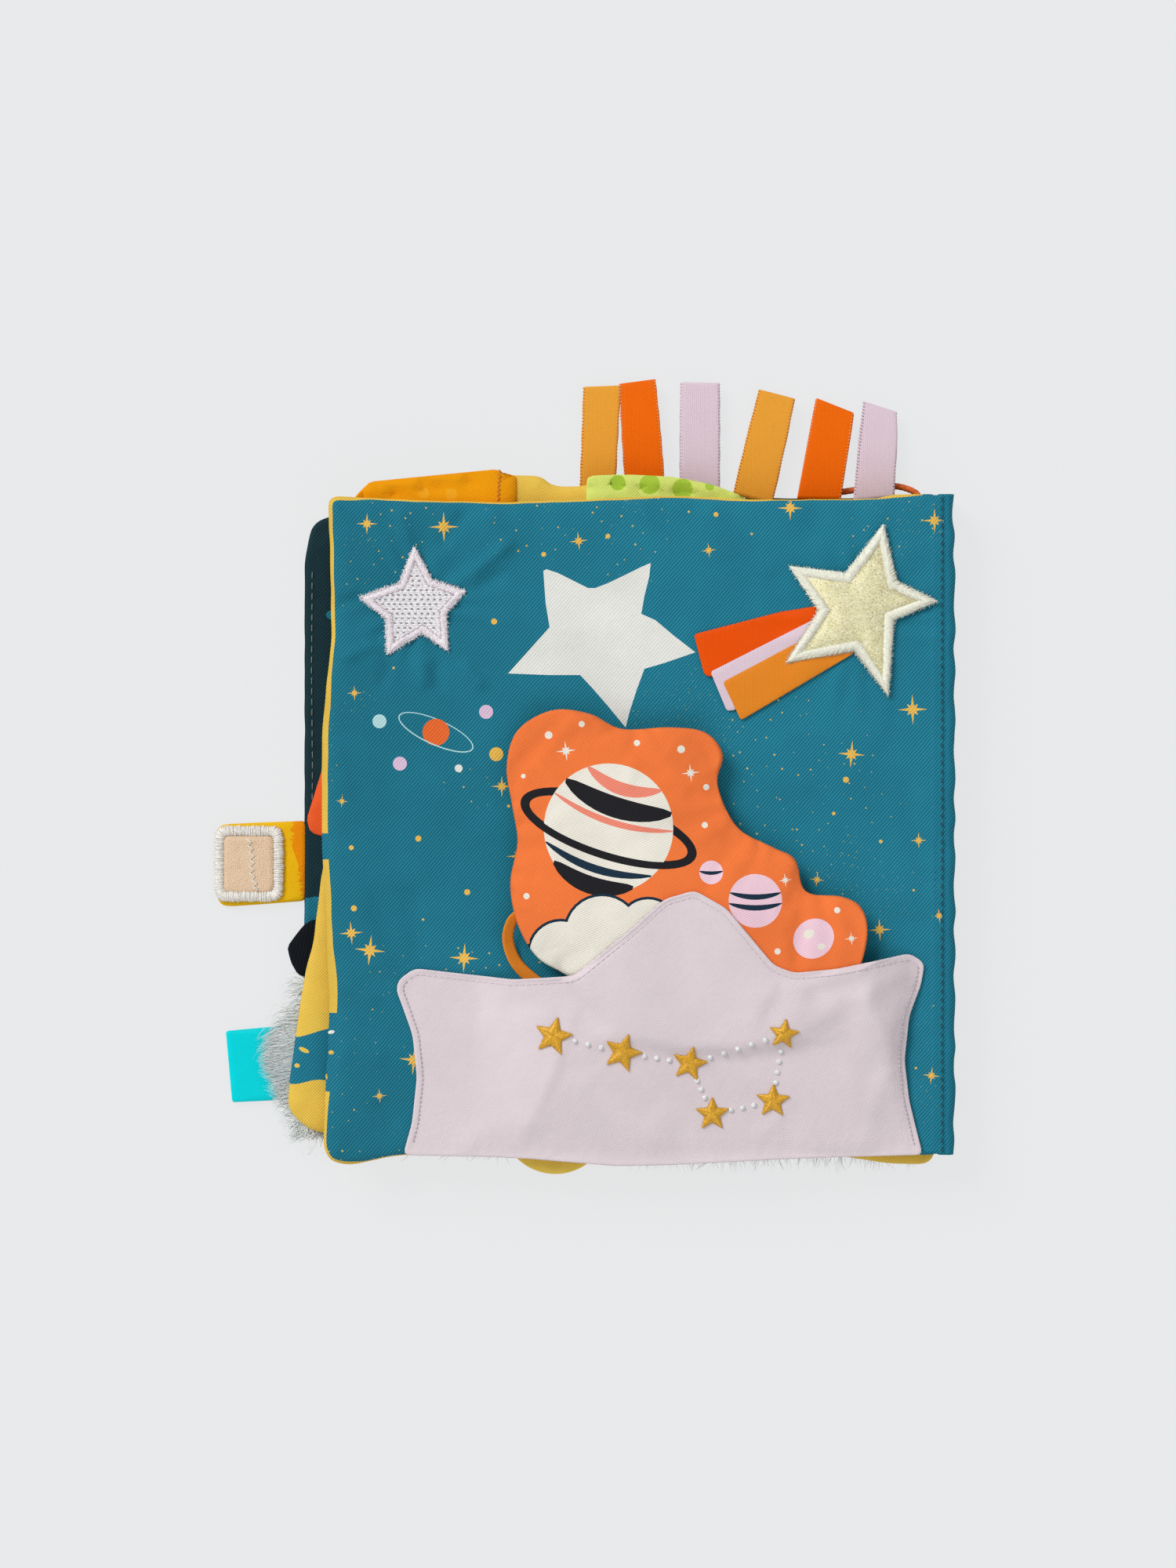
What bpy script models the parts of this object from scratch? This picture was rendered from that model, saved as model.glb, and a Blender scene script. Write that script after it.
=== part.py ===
"""Crinkle cloth book, lying closed on its back leaf with the spine at +X.

Metres, +Z up. The origin is under the middle of the front leaf, on the surface the book lies on.
Three padded leaves turn about one axis along the spine. The top leaf carries a pocket that holds
a padded toy on a ribbon tether. Ribbon loops, a cord loop, a label and a hook-tape closing tab
are sewn into the back leaf's seam.
"""

import math

import bpy
from mathutils import Matrix, Vector
from mathutils.geometry import delaunay_2d_cdt

# Layers shared by the three leaves
GAP = 0.0003
SKIN = 0.0006
FILM = 0.0003
WADDING = 0.0024
SEAM_ALLOWANCE = 0.0012
EDGE_ROUND = 0.0007
CORNER_RADIUS = 0.0040

# Leaves, from the free edge to the fold at the spine
FRONT_WIDTH = 0.1940
FRONT_HEIGHT = 0.2100
MIDDLE_WIDTH = 0.2060
MIDDLE_HEIGHT = 0.2210
BACK_WIDTH = 0.2030
BACK_HEIGHT = 0.2100
MIDDLE_DROP = 0.0030
BACK_DROP = -0.0010

# Spine binding, a round-topped welt that the leaves turn about
SPINE_RADIUS = 0.0027
SPINE_ROUND_STEPS = 8
SPINE_SHARES = (0.002, 1.006)
TABLE_CLEARANCE = 0.0003

# Flat sewn-on pieces between the leaves
FUR_PILE = 0.0026
INNER_PIECE = 0.0010
MOON_RADIUS = 0.0175
MOON_OVERHANG = 0.0032
HILL_WIDTH = 0.0520
HILL_HEIGHT = 0.0340
ORANGE_POCKET_RISE = 0.0017
ORANGE_POCKET_WIDTH = 0.0480
ORANGE_POCKET_HEIGHT = 0.0440
CORAL_WIDTH = 0.0210
CORAL_HEIGHT = 0.0245
FELT_OVERHANG = 0.0040
FELT_WIDTH = 0.0220
FELT_HEIGHT = 0.0175
FUR_WIDTH = 0.1900
FUR_HEIGHT = 0.0545

# Embroidered patches and the folded ribbon tails of the shooting star
PATCH = 0.0009
LILAC_STAR_RADIUS = 0.0180
GOLD_STAR_RADIUS = 0.0280
GOLD_STAR_BORDER = 0.0026
TAIL = 0.0006

# Pocket, cut as the upper half of a big star
POCKET_WIDTH = 0.1685
POCKET_HEIGHT = 0.0845
POCKET_CLOTH = 0.0007
POCKET_GRID = 0.0072
POCKET_CORNER = 0.0020
DIPPER_STAR = 0.0006
DIPPER_STAR_RADIUS = 0.0054
DIPPER_VALLEY_SHARE = 0.48

# Padded toy in the pocket
TOY_WIDTH = 0.1145
TOY_HEIGHT = 0.1075
TOY_THICKNESS = 0.0092
TOY_SKIN = 0.0006
TOY_CROWN_REACH = 0.0150
TOY_STUFFING_INSET = 0.0030
STUFFING_SHARE = 0.80
TOY_FLOAT = 0.0004
TOY_GRID = 0.0075
TETHER_WIDTH = 0.0032
TETHER = 0.0005

# Ribbon loops, of half-inch satin ribbon
RIBBON_WIDTH = 0.0125
RIBBON = 0.0004
RIBBON_PLY_GAP = 0.0004
RIBBON_LENGTH = 0.0350
RIBBON_FOLD_STEPS = 6

# Cord loop in the same seam
CORD_RADIUS = 0.00105
CORD_SPAN = 0.0290
CORD_REACH = 0.0038
CORD_STEPS = 3

# Closing tab and its hook patch, and the side label
TAB_WIDTH = 0.0268
TAB_HEIGHT = 0.0262
TAB = 0.0012
TAB_CORNER = 0.0022
HOOK_WIDTH = 0.0165
HOOK_HEIGHT = 0.0180
HOOK = 0.0009
HOOK_FRAME_WIDTH = 0.0024
HOOK_CORNER = 0.0010
LABEL_WIDTH = 0.0235
LABEL_HEIGHT = 0.0235
LABEL = 0.0006

# Heights of the layers
leaf_thickness = 2 * SKIN + FILM + WADDING + 3 * GAP
middle_low = leaf_thickness + GAP + FUR_PILE + GAP
front_low = middle_low + leaf_thickness + GAP + INNER_PIECE + GAP
front_top = front_low + leaf_thickness
patch_low = front_top + GAP
toy_low = patch_low + PATCH + GAP + TOY_FLOAT
toy_seam = toy_low + TOY_THICKNESS / 2
pocket_rise = toy_low + TOY_THICKNESS + GAP - front_top
stack_top = front_top + pocket_rise + POCKET_CLOTH + GAP + DIPPER_STAR
seam_level = leaf_thickness / 2

# Places of the leaves: the spine axis is fixed by the front leaf, centred on the origin
fold_edge = FRONT_WIDTH / 2
hinge_x = fold_edge + GAP + SPINE_RADIUS
hinge_z = stack_top / 2 + TABLE_CLEARANCE
front_bottom = -FRONT_HEIGHT / 2
middle_bottom = front_bottom - MIDDLE_DROP
back_bottom = front_bottom - BACK_DROP

# Outlines as shares of a piece's own width and height, from its lower left corner
FRONT_SHARES = (
    (-0.011, 0.000), (0.034, -0.010), (0.120, 0.002), (0.330, 0.003), (0.554, -0.010),
    (0.747, -0.004), (0.976, 0.001), (1.000, 0.001), (1.000, 0.022), (1.000, 0.986),
    (1.000, 1.007), (0.976, 1.006), (0.930, 1.002), (0.890, 0.999), (0.696, 0.998),
    (0.554, 1.004), (0.419, 0.998), (0.284, 0.994), (-0.004, 1.000), (0.001, 0.923),
    (0.003, 0.780), (-0.006, 0.708), (-0.013, 0.637), (-0.013, 0.470), (-0.006, 0.375),
    (-0.002, 0.265), (0.000, 0.220), (-0.004, 0.155), (-0.007, 0.100), (-0.010, 0.030),
)
MIDDLE_SHARES = (
    (0.026, 0.047), (0.220, 0.022), (0.800, 0.018), (0.859, 0.010), (0.883, 0.006),
    (0.920, 0.001), (0.985, -0.002), (1.000, 0.012), (1.000, 0.968), (0.975, 0.972),
    (0.930, 0.971), (0.905, 0.964), (0.714, 0.963), (0.620, 0.975), (0.471, 0.990),
    (0.453, 0.983), (0.404, 0.983), (0.386, 0.998), (0.325, 1.000), (0.100, 0.965),
    (0.066, 0.955), (0.066, 0.700), (0.052, 0.460), (0.041, 0.400), (0.032, 0.325),
    (0.019, 0.279), (0.012, 0.240), (0.006, 0.183), (-0.001, 0.118), (-0.005, 0.075),
)
BACK_SHARES = (
    (0.000, 0.035), (0.035, 0.004), (0.500, 0.000), (1.000, 0.000), (1.000, 1.000),
    (0.400, 1.000), (0.090, 0.990), (0.012, 0.962), (0.000, 0.900),
)
POCKET_SHARES = (
    (0.012, 0.002), (0.214, 0.004), (0.510, -0.018), (0.733, -0.006), (0.995, 0.000),
    (0.969, 0.207), (0.960, 0.358), (0.969, 0.524), (0.991, 0.636), (0.999, 0.722),
    (0.970, 0.760), (0.825, 0.704), (0.749, 0.690), (0.711, 0.719), (0.622, 0.932),
    (0.562, 1.000), (0.505, 0.967), (0.436, 0.843), (0.334, 0.678), (0.220, 0.663),
    (0.144, 0.678), (0.034, 0.703), (0.004, 0.661), (-0.001, 0.621), (0.008, 0.575),
    (0.030, 0.451), (0.038, 0.291), (0.029, 0.121),
)
TOY_SHARES = (
    (0.180, 0.205), (0.290, 0.080), (0.400, 0.025), (0.560, 0.000), (0.740, 0.020),
    (0.890, 0.105), (0.965, 0.200), (1.000, 0.330), (0.985, 0.415), (0.930, 0.450),
    (0.830, 0.465), (0.800, 0.560), (0.740, 0.595), (0.640, 0.655), (0.585, 0.780),
    (0.600, 0.870), (0.550, 0.935), (0.450, 0.950), (0.320, 0.945), (0.230, 0.990),
    (0.125, 1.000), (0.030, 0.940), (0.000, 0.835), (0.015, 0.720), (0.030, 0.610),
    (0.010, 0.490), (0.030, 0.370), (0.085, 0.270),
)
HILL_SHARES = (
    (0.000, 0.000), (1.000, 0.000), (1.000, 0.735), (0.970, 0.794), (0.780, 0.904),
    (0.540, 0.978), (0.250, 1.000), (0.030, 0.990), (0.000, 0.960),
)
ORANGE_POCKET_SHARES = (
    (0.000, 0.000), (0.970, 0.000), (1.000, 1.000), (0.370, 0.938), (0.105, 0.909),
    (0.000, 0.795),
)
CORAL_SHARES = (
    (0.000, 0.228), (0.059, 0.053), (0.252, 0.000), (0.700, 0.000), (1.000, 0.300),
    (0.900, 0.900), (0.600, 1.000), (0.330, 1.000), (0.252, 0.908),
)
FELT_SHARES = (
    (0.000, 0.620), (0.060, 0.400), (0.190, 0.040), (0.300, 0.060), (1.000, 0.200),
    (1.000, 0.850), (0.480, 1.000), (0.370, 1.000), (0.190, 0.890),
)
FUR_SHARES = (
    (0.000, 0.130), (0.060, 0.000), (0.500, 0.020), (1.000, 0.000), (1.000, 0.420),
    (0.700, 0.520), (0.350, 0.780), (0.120, 1.000), (0.000, 0.900),
)

# Stars and the tails beside the gold one, as shares of the star's radius from its middle
LILAC_STAR_SHARES = (
    (-0.042, 0.972), (0.278, 0.389), (0.875, 0.194), (0.528, -0.194), (0.556, -0.861),
    (0.111, -0.542), (-0.514, -0.931), (-0.542, -0.292), (-1.000, 0.083), (-0.292, 0.333),
)
GOLD_STAR_SHARES = (
    (0.286, 1.107), (0.438, 0.464), (0.895, 0.240), (0.402, 0.027), (0.339, -0.830),
    (-0.045, -0.321), (-0.813, -0.455), (-0.446, 0.134), (-0.777, 0.634), (-0.143, 0.554),
)
TAIL_SHARES = {
    "orange": ((-1.875, -0.143), (-0.518, 0.152), (-0.571, 0.000), (-1.714, -0.554)),
    "lilac": ((-1.688, -0.598), (-0.589, -0.045), (-0.661, -0.161), (-1.571, -0.696)),
    "tan": (
        (-1.536, -0.741), (-0.723, -0.232), (-0.866, -0.473), (-0.813, -0.518),
        (-0.089, -0.375), (-1.321, -1.107),
    ),
}

# Places on the front leaf as shares of its width and height
LILAC_STAR_PLACE_SHARES = (0.143, 0.842)
GOLD_STAR_PLACE_SHARES = (0.869, 0.811)
POCKET_PLACE_SHARES = (0.111, 0.003)
TOY_PLACE_SHARES = (0.292, 0.165)
DIPPER_SHARES = (
    (0.297, 0.459, 1.05, -13), (0.427, 0.396, 1.05, -18), (0.553, 0.355, 0.97, -12),
    (0.730, 0.467, 0.85, -8), (0.711, 0.213, 0.92, -2), (0.596, 0.163, 0.93, 0),
)

# Places along the back leaf's seam as shares of its width or height
RIBBON_SHARES = (
    ("ribbon_loop_1", 0.460, -3, "satin_tan"), ("ribbon_loop_2", 0.541, 3, "satin_orange"),
    ("ribbon_loop_3", 0.626, 0, "satin_lilac"), ("ribbon_loop_4", 0.712, -12, "satin_tan"),
    ("ribbon_loop_5", 0.813, -8, "satin_orange"), ("ribbon_loop_6", 0.900, -4, "satin_lilac"),
)
RIBBON_REACH_SHARES = (1.00, 1.00, 1.00, 0.98, 0.92, 0.88)
CORD_PLACE_SHARE = 0.905
TAB_PLACE_SHARE = 0.44015
LABEL_PLACE_SHARE = 0.1295
CORAL_PLACE_SHARE = 0.4800
FELT_PLACE_SHARE = 0.2635

# Route of the cord, as shares of its span and reach
CORD_SHARES = (
    (0.000, 0.00), (0.000, 0.24), (0.050, 0.42), (0.160, 0.48), (0.360, 0.72), (0.550, 0.96),
    (0.680, 1.00), (0.820, 0.86), (0.930, 0.58), (0.990, 0.26), (1.000, 0.00),
)

# Places on the middle leaf as shares of its width
ORANGE_POCKET_PLACE_SHARE = 0.095
HILL_PLACE_SHARE = 0.456
MOON_PLACE_SHARE = 0.408
MOON_STEPS = 28

# Route of the toy's tether, as shares of the toy's own size
TETHER_SHARES = (
    (0.0142, 0.407), (0.002, 0.402), (-0.013, 0.365), (-0.013, 0.307), (0.011, 0.249),
    (0.050, 0.202), (0.098, 0.137),
)
TETHER_STEPS = 3

COLOURS = {
    "teal_cotton": (0.016, 0.170, 0.260), "yellow_cotton": (0.840, 0.550, 0.090),
    "dark_cotton": (0.012, 0.040, 0.050), "lilac_cotton": (0.730, 0.630, 0.690),
    "wadding": (0.850, 0.840, 0.820), "crinkle_film": (0.800, 0.820, 0.830),
    "plush_fur": (0.680, 0.780, 0.820), "orange_cotton": (0.910, 0.160, 0.040),
    "lime_cotton": (0.560, 0.680, 0.060), "amber_cotton": (0.860, 0.370, 0.030),
    "black_felt": (0.006, 0.008, 0.010), "coral_cotton": (0.850, 0.130, 0.060),
    "satin_tan": (0.760, 0.340, 0.050), "satin_orange": (0.940, 0.110, 0.004),
    "satin_lilac": (0.680, 0.540, 0.660), "lilac_thread": (0.780, 0.720, 0.790),
    "gold_lame": (0.620, 0.540, 0.260), "cream_thread": (0.880, 0.860, 0.690),
    "gold_thread": (0.830, 0.390, 0.030), "hook_tape": (0.760, 0.600, 0.440),
    "white_thread": (0.840, 0.820, 0.840), "label_satin": (0.000, 0.660, 0.720),
    "cord_braid": (0.900, 0.160, 0.020),
}
ROUGHNESS = {"gold_lame": 0.35, "crinkle_film": 0.25, "satin_tan": 0.45, "satin_orange": 0.45, "satin_lilac": 0.45}
METALLIC = {"gold_lame": 0.6}
DEFAULT_ROUGHNESS = 0.85
SMOOTH_ANGLE = math.radians(40)


def clear_scene():
    for old in list(bpy.data.objects):
        bpy.data.objects.remove(old, do_unlink=True)


def material(name):
    found = bpy.data.materials.get(name)
    if found:
        return found
    made = bpy.data.materials.new(name)
    made.use_nodes = True
    shader = made.node_tree.nodes["Principled BSDF"]
    shader.inputs["Base Color"].default_value = (*COLOURS[name], 1)
    shader.inputs["Roughness"].default_value = ROUGHNESS.get(name, DEFAULT_ROUGHNESS)
    shader.inputs["Metallic"].default_value = METALLIC.get(name, 0)
    made.diffuse_color = (*COLOURS[name], 1)
    return made


def carrier(name, place, parent=None):
    """An empty on a joint's axis, which carries the pieces that move about it."""
    empty = bpy.data.objects.new(name, None)
    bpy.context.collection.objects.link(empty)
    empty.location = place
    if parent:
        empty.parent = parent
        empty.matrix_parent_inverse = Matrix.Translation(parent.matrix_world.translation).inverted()
    bpy.context.view_layer.update()
    return empty


def add_piece(name, vertices, faces, slot, on):
    """A closed mesh in world places, as an object whose origin is on its carrier."""
    origin = on.matrix_world.translation.copy()
    mesh = bpy.data.meshes.new(name)
    mesh.from_pydata([Vector(v) - origin for v in vertices], [], faces)
    mesh.validate()
    mesh.shade_smooth()
    mesh.set_sharp_from_angle(angle=SMOOTH_ANGLE)
    mesh.materials.append(material(slot))
    piece = bpy.data.objects.new(name, mesh)
    bpy.context.collection.objects.link(piece)
    piece.parent = on
    return piece


def signed_area(outline):
    total = 0
    for (x, y), (u, v) in zip(outline, outline[1:] + outline[:1]):
        total += x * v - u * y
    return total / 2


def counter_clockwise(outline):
    outline = [tuple(point) for point in outline]
    return outline if signed_area(outline) > 0 else outline[::-1]


def placed(shares, left, low, width, height):
    """Outline points from shares of a width and a height."""
    return [(left + width * x, low + height * y) for x, y in shares]


def rounded(points, radius, steps=3):
    """Replaces each corner by a short curve that starts and ends on its two edges."""
    curve = []
    for i, corner in enumerate(points):
        corner = Vector(corner)
        ends = []
        for other in (points[i - 1], points[(i + 1) % len(points)]):
            edge = Vector(other) - corner
            ends.append(corner + edge * min(radius / edge.length, 0.45))
        for step in range(steps + 1):
            t = step / steps
            curve.append(tuple(ends[0] * (1 - t) ** 2 + corner * 2 * t * (1 - t) + ends[1] * t ** 2))
    return curve


def spline_point(a, b, c, d, t):
    return 0.5 * (2 * b + (c - a) * t + (2 * a - 5 * b + 4 * c - d) * t ** 2 + (3 * b - a - 3 * c + d) * t ** 3)


def through(points, steps, closed=True):
    """A smooth curve through every point."""
    points = [Vector(p) for p in points]
    count = len(points)
    if not closed:
        points = [2 * points[0] - points[1]] + points + [2 * points[-1] - points[-2]]
    curve = []
    for i in range(count if closed else count - 1):
        if closed:
            a, b, c, d = (points[(i + k) % count] for k in (-1, 0, 1, 2))
        else:
            a, b, c, d = points[i:i + 4]
        for step in range(steps):
            curve.append(tuple(spline_point(a, b, c, d, step / steps)))
    if not closed:
        curve.append(tuple(points[-2]))
    return curve


def inset(outline, distance):
    """The outline moved inward by a distance along its corners' normals."""
    outline = counter_clockwise(outline)
    moved = []
    for i, here in enumerate(outline):
        before = Vector(outline[i - 1])
        after = Vector(outline[(i + 1) % len(outline)])
        here = Vector(here)
        first = (here - before).normalized()
        second = (after - here).normalized()
        normal = Vector((-first.y - second.y, first.x + second.x)).normalized()
        spread = max(normal.dot(Vector((-first.y, first.x))), 0.5)
        moved.append(tuple(here + normal * distance / spread))
    return moved


def around(shares, centre, radius):
    """Outline points from shares of a radius, counted from a middle."""
    return [(centre[0] + radius * x, centre[1] + radius * y) for x, y in shares]


def star(centre, radius, tilt, tips=5):
    points = []
    for k in range(2 * tips):
        reach = radius if k % 2 == 0 else radius * DIPPER_VALLEY_SHARE
        angle = tilt + math.pi / 2 + k * math.pi / tips
        points.append((centre[0] + reach * math.cos(angle), centre[1] + reach * math.sin(angle)))
    return points


def swept(name, outline, profile, slot, on):
    """A closed body from a profile of (inset, height) pairs carried round an outline.

    The first and last pairs are closed with flat faces. The profile runs from the lower or
    inner face to the upper or outer one.
    """
    outline = counter_clockwise(outline)
    count = len(outline)
    vertices = []
    for distance, height in profile:
        ring = inset(outline, distance) if distance else outline
        vertices += [(x, y, height) for x, y in ring]
    faces = [tuple(range(count))[::-1]]
    for ring in range(len(profile) - 1):
        for i in range(count):
            j = (i + 1) % count
            low = ring * count
            faces.append((low + i, low + j, low + count + j, low + count + i))
    top = (len(profile) - 1) * count
    faces.append(tuple(range(top, top + count)))
    return add_piece(name, vertices, faces, slot, on)


def slab(name, outline, low, thickness, slot, on, edge=0):
    profile = [(0, low), (0, low + thickness)]
    if edge:
        profile = [(edge, low), (0, low + edge), (0, low + thickness - edge), (edge, low + thickness)]
    return swept(name, outline, profile, slot, on)


def edge_distance(point, outline):
    """How far a point lies from the nearest edge of an outline."""
    nearest = math.inf
    point = Vector(point)
    for start, end in zip(outline, outline[1:] + outline[:1]):
        start = Vector(start)
        along = Vector(end) - start
        t = min(max((point - start).dot(along) / along.length_squared, 0), 1)
        nearest = min(nearest, (point - start - along * t).length)
    return nearest


def inside(point, outline):
    x, y = point
    crossings = 0
    for (x0, y0), (x1, y1) in zip(outline, outline[1:] + outline[:1]):
        if (y0 > y) != (y1 > y) and x < x0 + (y - y0) * (x1 - x0) / (y1 - y0):
            crossings += 1
    return crossings % 2 == 1


def tiled(outline, spacing):
    """Triangles that fill an outline, with inner points on a grid of the given spacing."""
    count = len(outline)
    xs = [x for x, y in outline]
    ys = [y for x, y in outline]
    points = [Vector(p) for p in outline]
    columns = math.ceil((max(xs) - min(xs)) / spacing)
    rows = math.ceil((max(ys) - min(ys)) / spacing)
    for row in range(1, rows):
        for column in range(1, columns):
            shift = (row % 2) / 2
            place = (min(xs) + spacing * (column + shift), min(ys) + spacing * row)
            if inside(place, outline) and edge_distance(place, outline) > spacing * 0.45:
                points.append(Vector(place))
    edges = [(i, (i + 1) % count) for i in range(count)]
    places, _, faces, *_ = delaunay_2d_cdt(points, edges, [], 1, 0)
    return [tuple(p) for p in places], [tuple(f) for f in faces]


def sheet(name, outline, spacing, low, high, slot, on):
    """A closed body between two height functions of (x, y, distance from the outline)."""
    outline = counter_clockwise(outline)
    places, faces = tiled(outline, spacing)
    depths = [edge_distance(p, outline) for p in places]
    count = len(places)
    vertices = [(x, y, low(x, y, d)) for (x, y), d in zip(places, depths)]
    vertices += [(x, y, high(x, y, d)) for (x, y), d in zip(places, depths)]
    used = {}
    for face in faces:
        for i, j in zip(face, face[1:] + face[:1]):
            used[(i, j)] = True
    body = [face[::-1] for face in faces]
    body += [tuple(count + i for i in face) for face in faces]
    body += [(i, j, count + j, count + i) for i, j in used if (j, i) not in used]
    return add_piece(name, vertices, body, slot, on)


def band(name, path, across, width, thickness, slot, on):
    """A flat ribbon along a path, with its width laid along one direction for each point."""
    vertices = []
    for i, here in enumerate(path):
        before = path[max(i - 1, 0)]
        after = path[min(i + 1, len(path) - 1)]
        along = (Vector(after) - Vector(before)).normalized()
        side = Vector(across[i]).normalized()
        lift = side.cross(along).normalized()
        for a, b in ((-1, -1), (1, -1), (1, 1), (-1, 1)):
            vertices.append(Vector(here) + side * (a * width / 2) + lift * (b * thickness / 2))
    faces = [(0, 1, 2, 3)]
    for ring in range(len(path) - 1):
        for i in range(4):
            j = (i + 1) % 4
            low = 4 * ring
            faces.append((low + i, low + 4 + i, low + 4 + j, low + j))
    last = 4 * (len(path) - 1)
    faces.append((last + 3, last + 2, last + 1, last))
    return add_piece(name, vertices, faces, slot, on)


def smooth_step(start, end, value):
    t = min(max((value - start) / (end - start), 0), 1)
    return t * t * (3 - 2 * t)


def leaf(prefix, outline, low, face_slot, back_slot, on):
    """One padded leaf: two cloth skins seamed round the edge, with wadding and a crackling film."""
    high = low + leaf_thickness
    seam = low + seam_level
    wall = SEAM_ALLOWANCE
    swept(prefix + "_leaf_face", outline, [
        (wall, high - SKIN), (wall, seam + GAP / 2), (0, seam + GAP / 2),
        (0, high - EDGE_ROUND), (EDGE_ROUND, high),
    ], face_slot, on)
    swept(prefix + "_leaf_backing", outline, [
        (EDGE_ROUND, low), (0, low + EDGE_ROUND), (0, seam - GAP / 2),
        (wall, seam - GAP / 2), (wall, low + SKIN),
    ], back_slot, on)
    wadding_low = low + SKIN + GAP
    inner = inset(outline, wall + GAP)
    slab(prefix + "_leaf_wadding", inner, wadding_low, WADDING, "wadding", on)
    slab(prefix + "_crinkle_film", inner, wadding_low + WADDING + GAP, FILM, "crinkle_film", on)


def front_place(shares):
    return (-FRONT_WIDTH / 2 + FRONT_WIDTH * shares[0], front_bottom + FRONT_HEIGHT * shares[1])


front_outline = rounded(
    placed(FRONT_SHARES, -FRONT_WIDTH / 2, front_bottom, FRONT_WIDTH, FRONT_HEIGHT), CORNER_RADIUS)
middle_outline = rounded(
    placed(MIDDLE_SHARES, fold_edge - MIDDLE_WIDTH, middle_bottom, MIDDLE_WIDTH, MIDDLE_HEIGHT),
    CORNER_RADIUS)
back_outline = rounded(
    placed(BACK_SHARES, fold_edge - BACK_WIDTH, back_bottom, BACK_WIDTH, BACK_HEIGHT), CORNER_RADIUS)
back_left = fold_edge - BACK_WIDTH
back_top = back_bottom + BACK_HEIGHT
middle_left = fold_edge - MIDDLE_WIDTH
middle_top = middle_bottom + MIDDLE_HEIGHT

pocket_left, pocket_bottom = front_place(POCKET_PLACE_SHARES)
toy_left, toy_bottom = front_place(TOY_PLACE_SHARES)


def pocket_cavity(x, y):
    """How high the pocket stands over the leaf: raised over the toy, down to its seams."""
    open_left = smooth_step(pocket_left + POCKET_WIDTH / 8, toy_left + TOY_WIDTH / 8, x)
    toy_right = toy_left + TOY_WIDTH
    open_right = 1 - smooth_step(toy_right - SEAM_ALLOWANCE, pocket_left + POCKET_WIDTH, x)
    climb = min(max((y - pocket_bottom) / (toy_bottom + TOY_HEIGHT / 6 - pocket_bottom), 0), 1)
    return pocket_rise * open_left * open_right * (1 - (1 - climb) ** 2)


def pocket_low(x, y, depth=0):
    return front_top + max(pocket_cavity(x, y), GAP)


def pocket_top(x, y, depth=0):
    return pocket_low(x, y) + POCKET_CLOTH


def toy_crown(depth, reach):
    """The pillow shape of the padded toy, from nothing at its seam to full height inside."""
    t = min(depth / reach, 1)
    return math.sqrt(1 - (1 - t) ** 2)


def back_leaf(on):
    leaf("back", back_outline, 0, "dark_cotton", "teal_cotton", on)
    face = leaf_thickness + GAP
    fur = placed(FUR_SHARES, back_left, back_bottom, FUR_WIDTH, FUR_HEIGHT)
    slab("fur_panel", rounded(fur, CORNER_RADIUS), face, FUR_PILE, "plush_fur", on, EDGE_ROUND)
    coral_low = back_bottom + BACK_HEIGHT * CORAL_PLACE_SHARE
    coral = placed(CORAL_SHARES, back_left + 2 * GAP, coral_low, CORAL_WIDTH, CORAL_HEIGHT)
    slab("coral_applique", rounded(coral, SEAM_ALLOWANCE), face, INNER_PIECE, "coral_cotton", on)
    felt_low = back_bottom + BACK_HEIGHT * FELT_PLACE_SHARE
    felt = placed(FELT_SHARES, back_left - FELT_OVERHANG, felt_low, FELT_WIDTH, FELT_HEIGHT)
    slab("black_felt_tab", rounded(felt, SEAM_ALLOWANCE), face + FUR_PILE - INNER_PIECE, INNER_PIECE,
         "black_felt", on)


def spine_binding(on):
    """The welt of folded cloth at the spine, with a flat foot and a round top."""
    section = [(hinge_x - SPINE_RADIUS, 0), (hinge_x + SPINE_RADIUS, 0)]
    for step in range(SPINE_ROUND_STEPS + 1):
        angle = math.pi * step / SPINE_ROUND_STEPS
        section.append((hinge_x + SPINE_RADIUS * math.cos(angle), hinge_z + SPINE_RADIUS * math.sin(angle)))
    count = len(section)
    low, high = (front_bottom + FRONT_HEIGHT * share for share in SPINE_SHARES)
    vertices = [(x, low, z) for x, z in section]
    vertices += [(x, high, z) for x, z in section]
    faces = [tuple(range(count)), tuple(range(count, 2 * count))[::-1]]
    faces += [(j, i, count + i, count + j) for i, j in zip(range(count), [*range(1, count), 0])]
    add_piece("spine_binding", vertices, faces, "teal_cotton", on)


def ribbon_loop(name, share, lean, reach_share, slot, root):
    """A ribbon folded back on itself, with both ends in the back leaf's top seam."""
    turn = (RIBBON + RIBBON_PLY_GAP) / 2
    root_y = back_top + GAP + turn + RIBBON / 2
    seam = Vector((back_left + BACK_WIDTH * share, root_y, seam_level + turn + CORD_RADIUS))
    lean = math.radians(lean)
    out = Vector((-math.sin(lean), math.cos(lean), 0))
    side = Vector((math.cos(lean), math.sin(lean), 0))
    on = carrier(name + "_hinge", seam, root)
    seam += out * (RIBBON_WIDTH / 2 * abs(math.tan(lean)))
    reach = RIBBON_LENGTH * reach_share - turn - RIBBON / 2
    path = [seam - Vector((0, 0, turn))]
    for step in range(RIBBON_FOLD_STEPS + 1):
        angle = math.pi * (step / RIBBON_FOLD_STEPS - 0.5)
        path.append(seam + out * (reach + turn * math.cos(angle)) + Vector((0, 0, turn * math.sin(angle))))
    path.append(seam + Vector((0, 0, turn)))
    band(name, path, [side] * len(path), RIBBON_WIDTH, RIBBON, slot, on)


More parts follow.
